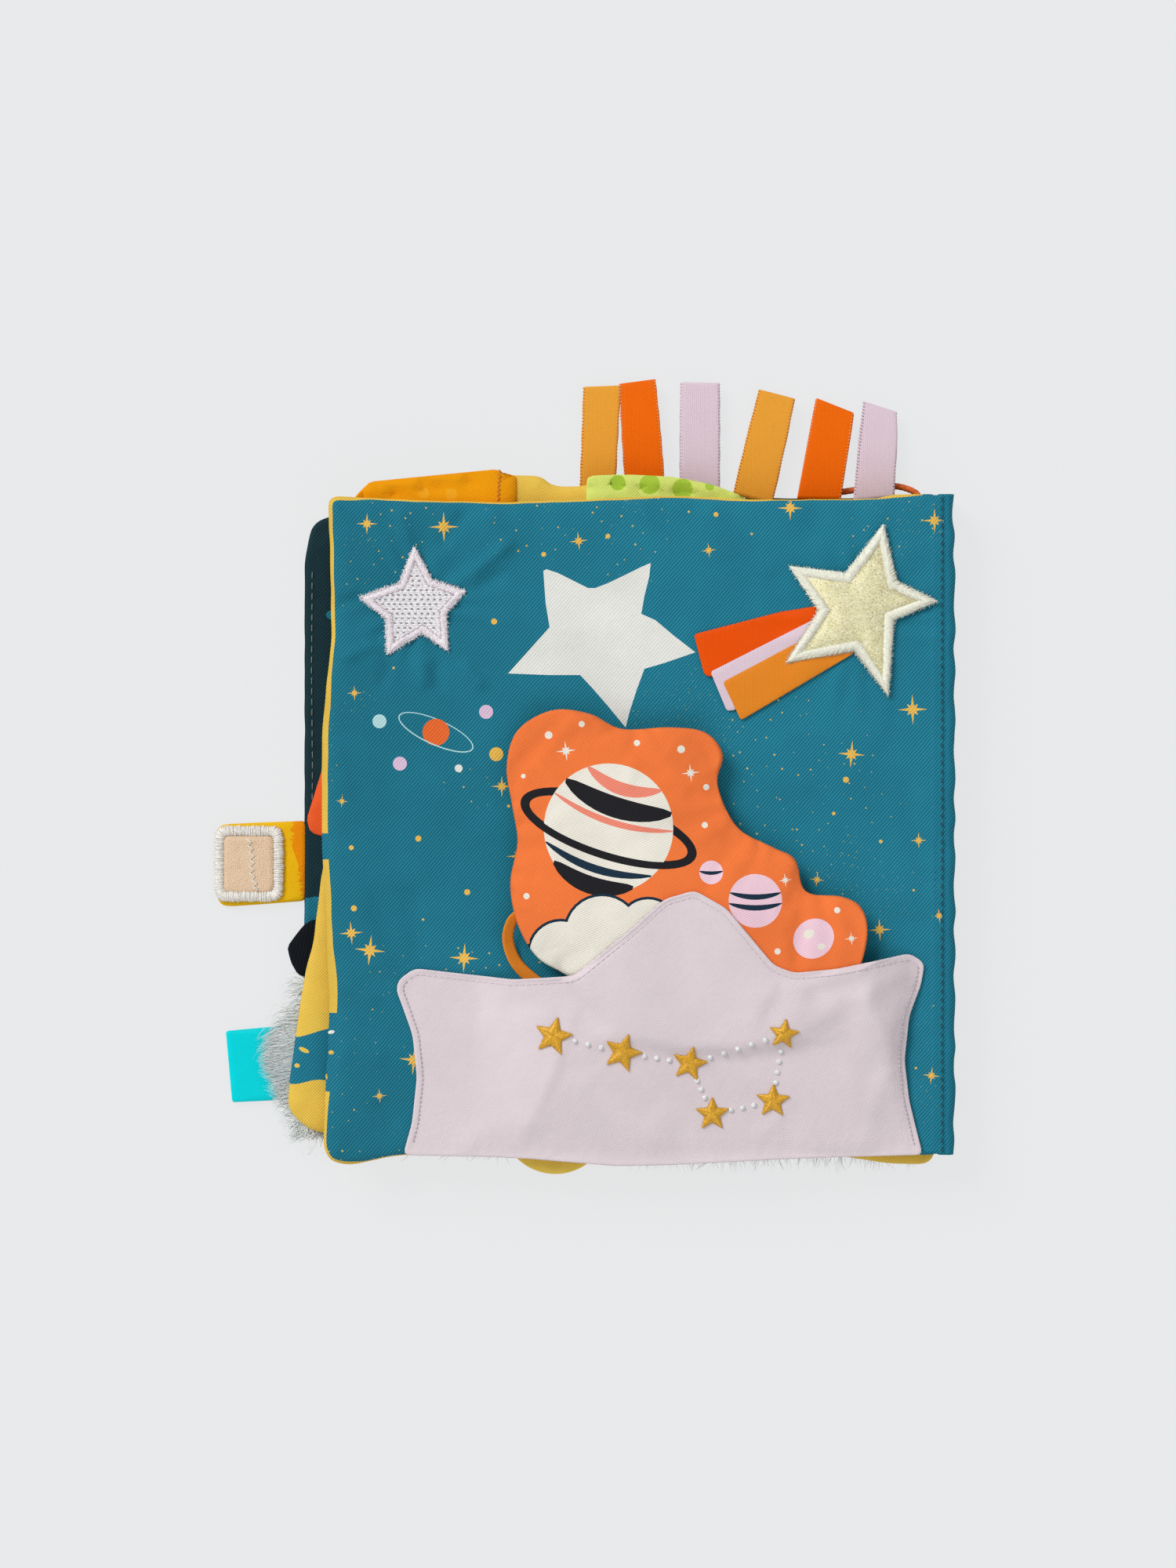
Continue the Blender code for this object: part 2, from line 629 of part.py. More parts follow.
def cord_loop(on):
    """A short braided cord, sewn into the top seam at both ends, lying under the ribbons."""
    left = back_left + BACK_WIDTH * CORD_PLACE_SHARE - CORD_SPAN / 2
    route = placed(CORD_SHARES, left, back_top + GAP, CORD_SPAN, CORD_REACH)
    route = [(x, y, CORD_RADIUS) for x, y in through(route, CORD_STEPS, False)]
    curve = bpy.data.curves.new("cord_loop", "CURVE")
    curve.dimensions = "3D"
    curve.bevel_depth = CORD_RADIUS
    curve.bevel_resolution = 2
    curve.use_fill_caps = True
    curve.resolution_u = 1
    spline = curve.splines.new("POLY")
    spline.points.add(len(route) - 1)
    for point, place in zip(spline.points, route):
        point.co = (*place, 1)
    curve.materials.append(material("cord_braid"))
    cord = bpy.data.objects.new("cord_loop", curve)
    bpy.context.collection.objects.link(cord)
    cord.parent = on


def closure_tab(root):
    """The closing tab at the free edge, with a hook-tape patch in a stitched frame."""
    middle = back_bottom + BACK_HEIGHT * TAB_PLACE_SHARE
    right = back_left - GAP - TAB / 2
    level = seam_level - TAB / 2
    on = carrier("closure_tab_hinge", (right, middle, seam_level), root)
    box = [(0, 0), (1, 0), (1, 1), (0, 1)]
    cloth = placed(box, right - TAB_WIDTH, middle - TAB_HEIGHT / 2, TAB_WIDTH, TAB_HEIGHT)
    slab("closure_tab", rounded(cloth, TAB_CORNER), level, TAB, "yellow_cotton", on)
    hook_left = right - TAB_WIDTH + HOOK_FRAME_WIDTH + GAP
    hook = placed(box, hook_left, middle - HOOK_HEIGHT / 2, HOOK_WIDTH, HOOK_HEIGHT)
    hook = rounded(hook, HOOK_CORNER)
    patch = level + TAB + GAP
    slab("hook_patch", hook, patch, HOOK, "hook_tape", on)
    outer = inset(hook, -GAP - HOOK_FRAME_WIDTH)
    frame_solid("hook_patch_frame", outer, inset(hook, -GAP), patch, HOOK, "white_thread", on)


def frame_solid(name, outer, inner, low, thickness, slot, on):
    """A flat ring between two outlines with the same number of points."""
    outer = counter_clockwise(outer)
    inner = counter_clockwise(inner)
    count = len(outer)
    vertices = []
    for outline, height in ((outer, low), (outer, low + thickness), (inner, low + thickness), (inner, low)):
        vertices += [(x, y, height) for x, y in outline]
    faces = []
    for ring in range(4):
        for i in range(count):
            j = (i + 1) % count
            first = ring * count
            second = (ring + 1) % 4 * count
            faces.append((first + i, first + j, second + j, second + i))
    return add_piece(name, vertices, faces, slot, on)


def side_label(root):
    middle = back_bottom + BACK_HEIGHT * LABEL_PLACE_SHARE
    right = back_left - GAP
    on = carrier("side_label_hinge", (right, middle, seam_level), root)
    shares = [(0.03, 0), (1, 0.06), (1, 0.98), (0, 0.96)]
    outline = placed(shares, right - LABEL_WIDTH, middle - LABEL_HEIGHT / 2, LABEL_WIDTH, LABEL_HEIGHT)
    slab("side_label", outline, seam_level - LABEL / 2, LABEL, "label_satin", on)


def middle_leaf(on):
    leaf("middle", middle_outline, middle_low, "yellow_cotton", "yellow_cotton", on)
    face = middle_low + leaf_thickness + GAP
    pocket_x = middle_left + MIDDLE_WIDTH * ORANGE_POCKET_PLACE_SHARE
    pocket_y = middle_top + ORANGE_POCKET_RISE - ORANGE_POCKET_HEIGHT
    patch = placed(ORANGE_POCKET_SHARES, pocket_x, pocket_y, ORANGE_POCKET_WIDTH, ORANGE_POCKET_HEIGHT)
    slab("orange_pocket", rounded(patch, SEAM_ALLOWANCE), face, INNER_PIECE, "amber_cotton", on)
    hill_x = middle_left + MIDDLE_WIDTH * HILL_PLACE_SHARE
    hill = placed(HILL_SHARES, hill_x, middle_top - HILL_HEIGHT, HILL_WIDTH, HILL_HEIGHT)
    slab("green_hill", rounded(hill, CORNER_RADIUS), face, INNER_PIECE, "lime_cotton", on)
    moon_x = middle_left + MIDDLE_WIDTH * MOON_PLACE_SHARE
    moon_y = middle_bottom + MOON_RADIUS - MOON_OVERHANG
    turns = [2 * math.pi * k / MOON_STEPS for k in range(MOON_STEPS)]
    moon = around([(math.cos(turn), math.sin(turn)) for turn in turns], (moon_x, moon_y), MOON_RADIUS)
    slab("yellow_moon", moon, face, INNER_PIECE, "yellow_cotton", on)


def front_leaf(on):
    leaf("front", front_outline, front_low, "teal_cotton", "yellow_cotton", on)
    lilac = around(LILAC_STAR_SHARES, front_place(LILAC_STAR_PLACE_SHARES), LILAC_STAR_RADIUS)
    slab("lilac_star_patch", lilac, patch_low, PATCH, "lilac_thread", on)
    centre = front_place(GOLD_STAR_PLACE_SHARES)
    outer = around(GOLD_STAR_SHARES, centre, GOLD_STAR_RADIUS)
    border = inset(outer, GOLD_STAR_BORDER)
    frame_solid("gold_star_border", outer, border, patch_low, PATCH, "cream_thread", on)
    slab("gold_star_patch", inset(border, GAP), patch_low, PATCH, "gold_lame", on)
    for colour, shares in TAIL_SHARES.items():
        outline = around(shares, centre, GOLD_STAR_RADIUS)
        slab("star_tail_" + colour, outline, patch_low, TAIL, "satin_" + colour, on)


def pocket(on):
    outline = rounded(placed(POCKET_SHARES, pocket_left, pocket_bottom, POCKET_WIDTH, POCKET_HEIGHT),
                      POCKET_CORNER, 2)
    sheet("pocket_panel", outline, POCKET_GRID, pocket_low, pocket_top, "lilac_cotton", on)
    for number, (x, y, size, turn) in enumerate(DIPPER_SHARES, 1):
        centre = (pocket_left + POCKET_WIDTH * x, pocket_bottom + POCKET_HEIGHT * y)
        shape = star(centre, DIPPER_STAR_RADIUS * size, math.radians(turn))

        def low(px, py, depth):
            return pocket_top(px, py) + GAP

        def high(px, py, depth):
            return pocket_top(px, py) + GAP + DIPPER_STAR
        sheet(f"dipper_star_{number}", shape, DIPPER_STAR_RADIUS, low, high, "gold_thread", on)


def toy(on):
    outline = counter_clockwise(through(placed(TOY_SHARES, toy_left, toy_bottom, TOY_WIDTH, TOY_HEIGHT), 2))
    half = TOY_THICKNESS / 2 - GAP / 2

    def upper(x, y, depth):
        return toy_seam + GAP / 2 + TOY_SKIN + (half - TOY_SKIN) * toy_crown(depth, TOY_CROWN_REACH)

    def under_upper(x, y, depth):
        return upper(x, y, depth) - TOY_SKIN

    def lower(x, y, depth):
        return 2 * toy_seam - upper(x, y, depth)

    def over_lower(x, y, depth):
        return lower(x, y, depth) + TOY_SKIN
    sheet("toy_front", outline, TOY_GRID, under_upper, upper, "orange_cotton", on)
    sheet("toy_back", outline, TOY_GRID, lower, over_lower, "orange_cotton", on)
    core = inset(outline, TOY_STUFFING_INSET)
    full = (half - TOY_SKIN) * STUFFING_SHARE

    def core_high(x, y, depth):
        return toy_seam + GAP + (full - GAP) * toy_crown(depth, TOY_CROWN_REACH)

    def core_low(x, y, depth):
        return 2 * toy_seam - core_high(x, y, depth)
    sheet("toy_filling", core, TOY_GRID, core_low, core_high, "wadding", on)


def tether(on):
    """The ribbon that ties the toy to the pocket: out of the toy's side and down to the leaf."""
    flat = through(placed(TETHER_SHARES, toy_left, toy_bottom, TOY_WIDTH, TOY_HEIGHT), TETHER_STEPS, False)
    last = len(flat) - 1
    path = []
    across = []
    for i, (x, y) in enumerate(flat):
        fall = smooth_step(0, 1, i / last)
        path.append((x, y, toy_seam * (1 - fall) + (front_top + 2 * GAP + TETHER / 2) * fall))
        before = Vector(flat[max(i - 1, 0)])
        along = Vector(flat[min(i + 1, last)]) - before
        across.append((along.y, -along.x, 0))
    band("tether_ribbon", path, across, TETHER_WIDTH, TETHER, "satin_tan", on)


def main():
    clear_scene()
    root = carrier("back_leaf_carrier", (0, 0, 0))
    back_leaf(root)
    spine_binding(root)
    for (name, share, lean, slot), reach_share in zip(RIBBON_SHARES, RIBBON_REACH_SHARES):
        ribbon_loop(name, share, lean, reach_share, slot, root)
    cord_loop(root)
    closure_tab(root)
    side_label(root)
    middle = carrier("middle_leaf_hinge", (hinge_x, 0, hinge_z), root)
    middle_leaf(middle)
    front = carrier("front_leaf_hinge", (hinge_x, 0, hinge_z), middle)
    front_leaf(front)
    pocket(front)
    tether(front)
    toy_slide = carrier("toy_slide", (toy_left + TOY_WIDTH / 2, toy_bottom, toy_seam), front)
    toy(toy_slide)


main()
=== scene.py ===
import math
import random

import bpy
import numpy as np
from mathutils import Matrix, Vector, noise
from mathutils.bvhtree import BVHTree
from mathutils.geometry import delaunay_2d_cdt


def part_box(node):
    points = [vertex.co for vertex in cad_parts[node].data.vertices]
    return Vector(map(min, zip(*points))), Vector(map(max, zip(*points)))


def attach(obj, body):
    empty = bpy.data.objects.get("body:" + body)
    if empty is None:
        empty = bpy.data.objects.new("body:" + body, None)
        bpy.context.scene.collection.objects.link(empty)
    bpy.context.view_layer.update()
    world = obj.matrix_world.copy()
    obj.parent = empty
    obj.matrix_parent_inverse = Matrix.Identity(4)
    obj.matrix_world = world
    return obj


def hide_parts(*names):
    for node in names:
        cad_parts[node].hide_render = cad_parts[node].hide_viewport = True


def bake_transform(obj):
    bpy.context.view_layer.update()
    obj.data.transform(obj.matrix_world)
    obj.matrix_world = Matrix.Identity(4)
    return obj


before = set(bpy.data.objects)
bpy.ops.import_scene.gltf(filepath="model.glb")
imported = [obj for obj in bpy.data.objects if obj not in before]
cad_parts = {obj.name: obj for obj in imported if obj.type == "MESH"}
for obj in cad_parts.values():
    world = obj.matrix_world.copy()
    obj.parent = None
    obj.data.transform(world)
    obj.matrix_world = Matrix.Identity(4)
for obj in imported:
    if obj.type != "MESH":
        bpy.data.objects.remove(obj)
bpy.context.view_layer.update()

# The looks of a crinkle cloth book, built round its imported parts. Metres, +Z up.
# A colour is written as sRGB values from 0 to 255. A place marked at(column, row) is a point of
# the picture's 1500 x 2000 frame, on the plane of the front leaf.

PIXELS_PER_METRE = 4000
MIDDLE_COLUMN = 808
MIDDLE_ROW = 1055


def at(column, row):
    return ((column - MIDDLE_COLUMN) / PIXELS_PER_METRE, (MIDDLE_ROW - row) / PIXELS_PER_METRE)


def all_at(*pixels):
    return [at(*pixel) for pixel in pixels]


def metres(pixels):
    return pixels / PIXELS_PER_METRE


CAMERA_PLACE = (-0.0145, 0.01375, 1.4082)
FRONT_LEVEL = 0.0192


def seen(column, row, height=0.004):
    """The place at a height that the camera sees at a point of the picture."""
    x, y = at(column, row)
    scale = (CAMERA_PLACE[2] - height) / (CAMERA_PLACE[2] - FRONT_LEVEL)
    return (CAMERA_PLACE[0] + (x - CAMERA_PLACE[0]) * scale, CAMERA_PLACE[1] + (y - CAMERA_PLACE[1]) * scale)


# Camera

def make_camera():
    data = bpy.data.cameras.new("camera")
    data.sensor_fit = "VERTICAL"
    data.sensor_width = 36
    data.sensor_height = 36
    data.lens = 100
    camera = bpy.data.objects.new("camera", data)
    bpy.context.collection.objects.link(camera)
    camera.location = CAMERA_PLACE
    bpy.context.scene.camera = camera


make_camera()


# Outlines

def signed_area(outline):
    p = np.asarray(outline)
    q = np.roll(p, -1, axis=0)
    return (p[:, 0] * q[:, 1] - q[:, 0] * p[:, 1]).sum() / 2


def counter_clockwise(outline):
    outline = [tuple(point) for point in outline]
    return outline if signed_area(outline) > 0 else outline[::-1]


def placed(shares, left, low, width, height):
    return [(left + width * x, low + height * y) for x, y in shares]


def around(shares, centre, radius):
    return [(centre[0] + radius * x, centre[1] + radius * y) for x, y in shares]


def rounded(points, radius, steps=4):
    curve = []
    for i, corner in enumerate(points):
        corner = Vector(corner)
        ends = []
        for other in (points[i - 1], points[(i + 1) % len(points)]):
            edge = Vector(other) - corner
            ends.append(corner + edge * min(radius / edge.length, 0.45))
        for step in range(steps + 1):
            t = step / steps
            curve.append(tuple(ends[0] * (1 - t) ** 2 + corner * 2 * t * (1 - t) + ends[1] * t ** 2))
    return curve


def through(points, steps, closed=True):
    """A smooth curve through every point, in two or three dimensions."""
    points = [Vector(p) for p in points]
    count = len(points)
    if not closed:
        points = [2 * points[0] - points[1]] + points + [2 * points[-1] - points[-2]]
    curve = []
    for i in range(count if closed else count - 1):
        if closed:
            a, b, c, d = (points[(i + k) % count] for k in (-1, 0, 1, 2))
        else:
            a, b, c, d = points[i:i + 4]
        for step in range(steps):
            t = step / steps
            curve.append(tuple(0.5 * (2 * b + (c - a) * t + (2 * a - 5 * b + 4 * c - d) * t ** 2
                                      + (3 * b - a - 3 * c + d) * t ** 3)))
    if not closed:
        curve.append(tuple(points[-2]))
    return curve


def evenly(path, spacing, closed=True):
    """The path again, with points an even distance apart."""
    points = np.asarray(path, dtype=float)
    if closed:
        points = np.vstack([points, points[:1]])
    steps = np.linalg.norm(np.diff(points, axis=0), axis=1)
    run = np.concatenate([[0], np.cumsum(steps)])
    count = max(int(round(run[-1] / spacing)), 3)
    wanted = np.linspace(0, run[-1], count + 1)
    if closed:
        wanted = wanted[:-1]
    return np.stack([np.interp(wanted, run, points[:, k]) for k in range(points.shape[1])], axis=1)


def normals_of(outline):
    """Inward unit normals at the points of a counter-clockwise outline."""
    p = np.asarray(outline)
    along = np.roll(p, -1, axis=0) - np.roll(p, 1, axis=0)
    along /= np.linalg.norm(along, axis=1)[:, None]
    return np.stack([-along[:, 1], along[:, 0]], axis=1)


def inset(outline, distance):
    """The outline moved inward, by one distance or by one for each point."""
    p = np.asarray(counter_clockwise(outline))
    first = p - np.roll(p, 1, axis=0)
    second = np.roll(p, -1, axis=0) - p
    first /= np.linalg.norm(first, axis=1)[:, None]
    second /= np.linalg.norm(second, axis=1)[:, None]
    normal = np.stack([-first[:, 1] - second[:, 1], first[:, 0] + second[:, 0]], axis=1)
    normal /= np.linalg.norm(normal, axis=1)[:, None]
    spread = np.maximum(-normal[:, 0] * first[:, 1] + normal[:, 1] * first[:, 0], 0.5)
    return p + normal * (np.asarray(distance) / spread)[..., None]


def nearest_edge(points, outline, closed=True):
    """How far each point is from an outline, and how far along the outline that is."""
    points = np.asarray(points, dtype=float)
    a = np.asarray(outline, dtype=float)
    b = np.roll(a, -1, axis=0)
    if not closed:
        a, b = a[:-1], b[:-1]
    edge = b - a
    length = np.linalg.norm(edge, axis=1)
    start = np.concatenate([[0], np.cumsum(length)[:-1]])
    far = np.empty(len(points))
    run = np.empty(len(points))
    for low in range(0, len(points), 4000):
        part = points[low:low + 4000, None, :] - a[None]
        t = np.clip((part * edge[None]).sum(2) / (length ** 2), 0, 1)
        gap = np.linalg.norm(part - t[..., None] * edge[None], axis=2)
        best = gap.argmin(axis=1)
        rows = np.arange(len(best))
        far[low:low + 4000] = gap[rows, best]
        run[low:low + 4000] = start[best] + t[rows, best] * length[best]
    return far, run


def inside(points, outline):
    points = np.asarray(points, dtype=float)
    a = np.asarray(outline, dtype=float)
    b = np.roll(a, -1, axis=0)
    within = np.zeros(len(points), dtype=bool)
    for (x0, y0), (x1, y1) in zip(a, b):
        if y0 == y1:
            continue
        crosses = (y0 > points[:, 1]) != (y1 > points[:, 1])
        within ^= crosses & (points[:, 0] < x0 + (points[:, 1] - y0) * (x1 - x0) / (y1 - y0))
    return within


def filled(outline, spacing, regions=(), rings=()):
    """Triangles that fill an outline, cut along the regions' outlines.

    The outline's own points come first. regions are (outline, index) pairs, and a triangle has
    the index of the last region that holds it, or 0. rings are inset distances that get edges.
    """
    outline = np.asarray(outline)
    low, high = outline.min(axis=0), outline.max(axis=0)
    rows = int((high[1] - low[1]) / (spacing * 0.87)) + 1
    columns = int((high[0] - low[0]) / spacing) + 1
    grid = np.array([(low[0] + spacing * (c + r % 2 / 2), low[1] + spacing * 0.87 * r)
                     for r in range(rows) for c in range(columns)])
    grid = grid[inside(grid, outline)]
    lines = [outline] + [inset(outline, ring) for ring in rings]
    lines = [(line, np.ones(len(line), dtype=bool)) for line in lines]
    margin = max(rings, default=0) + spacing * 0.5
    grid = grid[nearest_edge(grid, outline)[0] > margin]
    for region, _ in regions:
        region = np.asarray(region)
        lines.append((region, inside(region, outline)))
        room = spacing + np.linalg.norm(region - region.mean(axis=0), axis=1).max()
        close = np.linalg.norm(grid - region.mean(axis=0), axis=1) < room
        if close.any():
            away = nearest_edge(grid[close], region)[0]
            keep = np.ones(len(grid), dtype=bool)
            keep[np.flatnonzero(close)[away < spacing * 0.3]] = False
            grid = grid[keep]
    points = []
    edges = []
    for line, within in lines:
        number = len(points) + np.cumsum(within) - 1
        points += [Vector(p) for p in line[within]]
        joined = np.flatnonzero(within & np.roll(within, -1))
        edges += [(int(number[i]), int(number[(i + 1) % len(line)])) for i in joined]
    points += [Vector(p) for p in grid]
    places, _, faces, *_ = delaunay_2d_cdt(points, edges, [], 1, 1e-8)
    places = np.array([tuple(p) for p in places])
    faces = np.array([tuple(f) for f in faces])
    middles = places[faces].mean(axis=1)
    held = inside(middles, outline)
    faces, middles = faces[held], middles[held]
    index = np.zeros(len(faces), dtype=int)
    for region, value in regions:
        region = np.asarray(region)
        room = np.linalg.norm(region - region.mean(axis=0), axis=1).max()
        close = np.flatnonzero(np.linalg.norm(middles - region.mean(axis=0), axis=1) <= room)
        index[close[inside(middles[close], region)]] = value
    return places, faces, index


def crown(depth, reach):
    """From 0 at a seam to 1 at a reach inside it, as the side of a pillow rises."""
    t = np.clip(np.asarray(depth) / reach, 0, 1)
    return np.sqrt(1 - (1 - t) ** 2)


def smooth_step(start, end, value):
    t = np.clip((np.asarray(value) - start) / (end - start), 0, 1)
    return t * t * (3 - 2 * t)


def bumps(points, size, seed=0):
    """Smooth noise from -1 to 1 whose bumps are about as wide as the size."""
    return np.array([noise.noise((x / size, y / size, seed * 7.31)) for x, y in points])


# Pieces

def add_piece(name, vertices, faces, materials, body, replaced=(), index=None):
    """One smooth-shaded piece on a body. index gives each face's place in the materials."""
    mesh = bpy.data.meshes.new(name)
    mesh.from_pydata([tuple(v) for v in vertices], [], [tuple(int(i) for i in f) for f in faces])
    for entry in materials:
        mesh.materials.append(entry)
    if index is not None:
        mesh.polygons.foreach_set("material_index", [int(i) for i in index])
    mesh.shade_smooth()
    mesh.update()
    piece = bpy.data.objects.new(name, mesh)
    bpy.context.collection.objects.link(piece)
    if body:
        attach(piece, body)
    if replaced:
        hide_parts(*replaced)
    return piece


class Ground:
    """What lies under a place, seen from above: pieces, or a sheet's places and faces."""

    def __init__(self, *pieces, sheet=((), ())):
        vertices = [Vector(p) for p in sheet[0]]
        faces = [[int(i) for i in face] for face in sheet[1]]
        for piece in pieces:
            first = len(vertices)
            vertices += [v.co.copy() for v in piece.data.vertices]
            faces += [[first + i for i in p.vertices] for p in piece.data.polygons]
        self.tree = BVHTree.FromPolygons(vertices, faces)

    def height(self, points, fallback):
        heights = []
        for x, y in points:
            hit = self.tree.ray_cast((x, y, 1), (0, 0, -1))[0]
            heights.append(hit.z if hit else fallback)
        return np.array(heights)

    def under(self, routes, fallback):
        """The height under every point of several routes."""
        return self.height(routes.reshape(-1, 2), fallback).reshape(routes.shape[:2])


def rim_walls(count, low, high):
    """Quads between two rings of the same number of points, given each ring's first vertex."""
    i = np.arange(count)
    j = (i + 1) % count
    return np.stack([low + i, low + j, high + j, high + i], axis=1)


def walls_along(rings, sides, first=0):
    """Quads between rings of vertices that follow one another."""
    return [tuple(face) for k in range(rings - 1)
            for face in rim_walls(sides, first + k * sides, first + (k + 1) * sides)]


def end_caps(rings, sides):
    last = (rings - 1) * sides
    return [tuple(range(sides))[::-1], tuple(range(last, last + sides))]


def draped(name, outline, spacing, ground, offset, thickness, materials, body, replaced=(),
           edge=0.0004, regions=(), fallback=0.0, shape=None):
    """A thin closed piece of cloth that follows the ground under it, with a rounded edge."""
    outline = np.asarray(counter_clockwise(outline))
    places, faces, index = filled(outline, spacing, regions, (edge,))
    depth, run = nearest_edge(places, outline)
    level = ground.height(places, fallback) if ground else np.full(len(places), fallback)
    low = level + offset
    high = low + thickness * (0.35 + 0.65 * crown(depth, edge * 2))
    if shape is not None:
        lift = shape(places, depth, run)
        low = low + lift
        high = high + lift
    count = len(places)
    vertices = np.vstack([np.column_stack([places, low]), np.column_stack([places, high])])
    body_faces = list(faces[:, ::-1]) + list(faces + count)
    body_faces += list(rim_walls(len(outline), 0, count))
    marks = np.concatenate([index * 0, index, np.zeros(len(outline), dtype=int)])
    return add_piece(name, vertices, body_faces, materials, body, replaced, marks)


def smoothed(values, faces):
    """Each vertex's value moved to the mean of its neighbours' values."""
    total = np.zeros(len(values))
    count = np.zeros(len(values))
    for a, b in ((0, 1), (1, 2), (2, 0)):
        np.add.at(total, faces[:, a], values[faces[:, b]])
        np.add.at(total, faces[:, b], values[faces[:, a]])
        np.add.at(count, faces[:, a], 1)
        np.add.at(count, faces[:, b], 1)
    return np.where(count > 0, total / np.maximum(count, 1), values)


def tubes(routes, radius, sides):
    """Threads along routes of the same number of points: vertices and faces, with closed ends."""
    routes = np.asarray(routes, dtype=float)
    many, steps, _ = routes.shape
    radius = np.broadcast_to(radius, (many, steps))
    along = np.gradient(routes, axis=1)
    along /= np.linalg.norm(along, axis=2)[..., None] + 1e-12
    side = np.cross(along, (0, 0, 1.0))
    flat = np.linalg.norm(side, axis=2) < 1e-3
    side[flat] = (1, 0, 0)
    side /= np.linalg.norm(side, axis=2)[..., None]
    lift = np.cross(side, along)
    turns = np.arange(sides) * 2 * math.pi / sides
    ring = (side[:, :, None] * np.cos(turns)[None, None, :, None]
            + lift[:, :, None] * np.sin(turns)[None, None, :, None])
    vertices = (routes[:, :, None] + ring * radius[:, :, None, None]).reshape(-1, 3)
    k = np.arange(sides)
    n = (k + 1) % sides
    quads = []
    for step in range(steps - 1):
        a = step * sides
        quads.append(np.stack([a + k, a + n, a + sides + n, a + sides + k], axis=1))
    quads = np.concatenate(quads)
    first = (np.arange(many) * steps * sides)[:, None]
    faces = [list(f) for f in (quads[None] + first[..., None]).reshape(-1, 4)]
    last = (steps - 1) * sides
    for start in first[:, 0]:
        faces.append([start + i for i in range(sides)][::-1])
        faces.append([start + last + i for i in range(sides)])
    return vertices, faces


def threads(name, routes, radius, material, body, replaced=(), sides=5):
    vertices, faces = tubes(routes, radius, sides)
    return add_piece(name, vertices, faces, [material], body, replaced)


def stitches(name, path, ground, material, body, length, gap, radius, fallback=0.0, lift=0.0001):
    """A line of running stitches on the ground: short threads with their ends pulled in."""
    run = 0.0002
    fine = evenly(path, run, False)
    per = int(round((length + gap) / run))
    used = int(round(length / run))
    routes = []
    for start in range(0, len(fine) - used, per):
        picked = [fine[start + int(round(used * t))] for t in (0, 0.2, 0.5, 0.8, 1)]
        routes.append(picked)
    routes = np.array(routes)
    level = ground.under(routes, fallback)
    rise = np.array([-0.6, 0.5, 0.8, 0.5, -0.6]) * radius + lift
    return threads(name, np.dstack([routes, level + rise]), radius, material, body)


SATIN_SPACING = 0.00036


def border_threads(outer, inner, ground, fallback, base, lift, rng, overhang):
    """Satin stitches laid across a border, from its outer to its inner outline."""
    outer, inner = np.asarray(outer), np.asarray(inner)
    routes = []
    for i in range(len(outer)):
        j = (i + 1) % len(outer)
        span = np.linalg.norm(outer[j] - outer[i])
        many = max(int(span / SATIN_SPACING), 1)
        for k in range(many):
            t = (k + rng.uniform(0.25, 0.75)) / many
            a = outer[i] + (outer[j] - outer[i]) * t
            b = inner[i] + (inner[j] - inner[i]) * t
            way = (b - a) / (np.linalg.norm(b - a) + 1e-9)
            a = a - way * rng.uniform(-0.4, 1) * overhang
            b = b + way * rng.uniform(-0.4, 1) * overhang
            routes.append([a + (b - a) * s for s in (0, 0.14, 0.38, 0.62, 0.86, 1)])
    routes = np.array(routes)
    level = ground.under(routes, fallback)
    rise = base + lift * np.array([0, 0.62, 1, 1, 0.62, 0])
    return np.dstack([routes, level + rise])


def gathers(run, period, spread, seed):
    """A wave along a seam, from -1 to 1, whose period wanders."""
    return np.sin(run / period * 2 * math.pi + 3 * bumps(np.column_stack([run, run * 0]), spread, seed))


# Materials

def linear(colour):
    result = []
    for value in colour:
        value /= 255
        result.append(value / 12.92 if value <= 0.04045 else ((value + 0.055) / 1.055) ** 2.4)
    return (*result, 1)


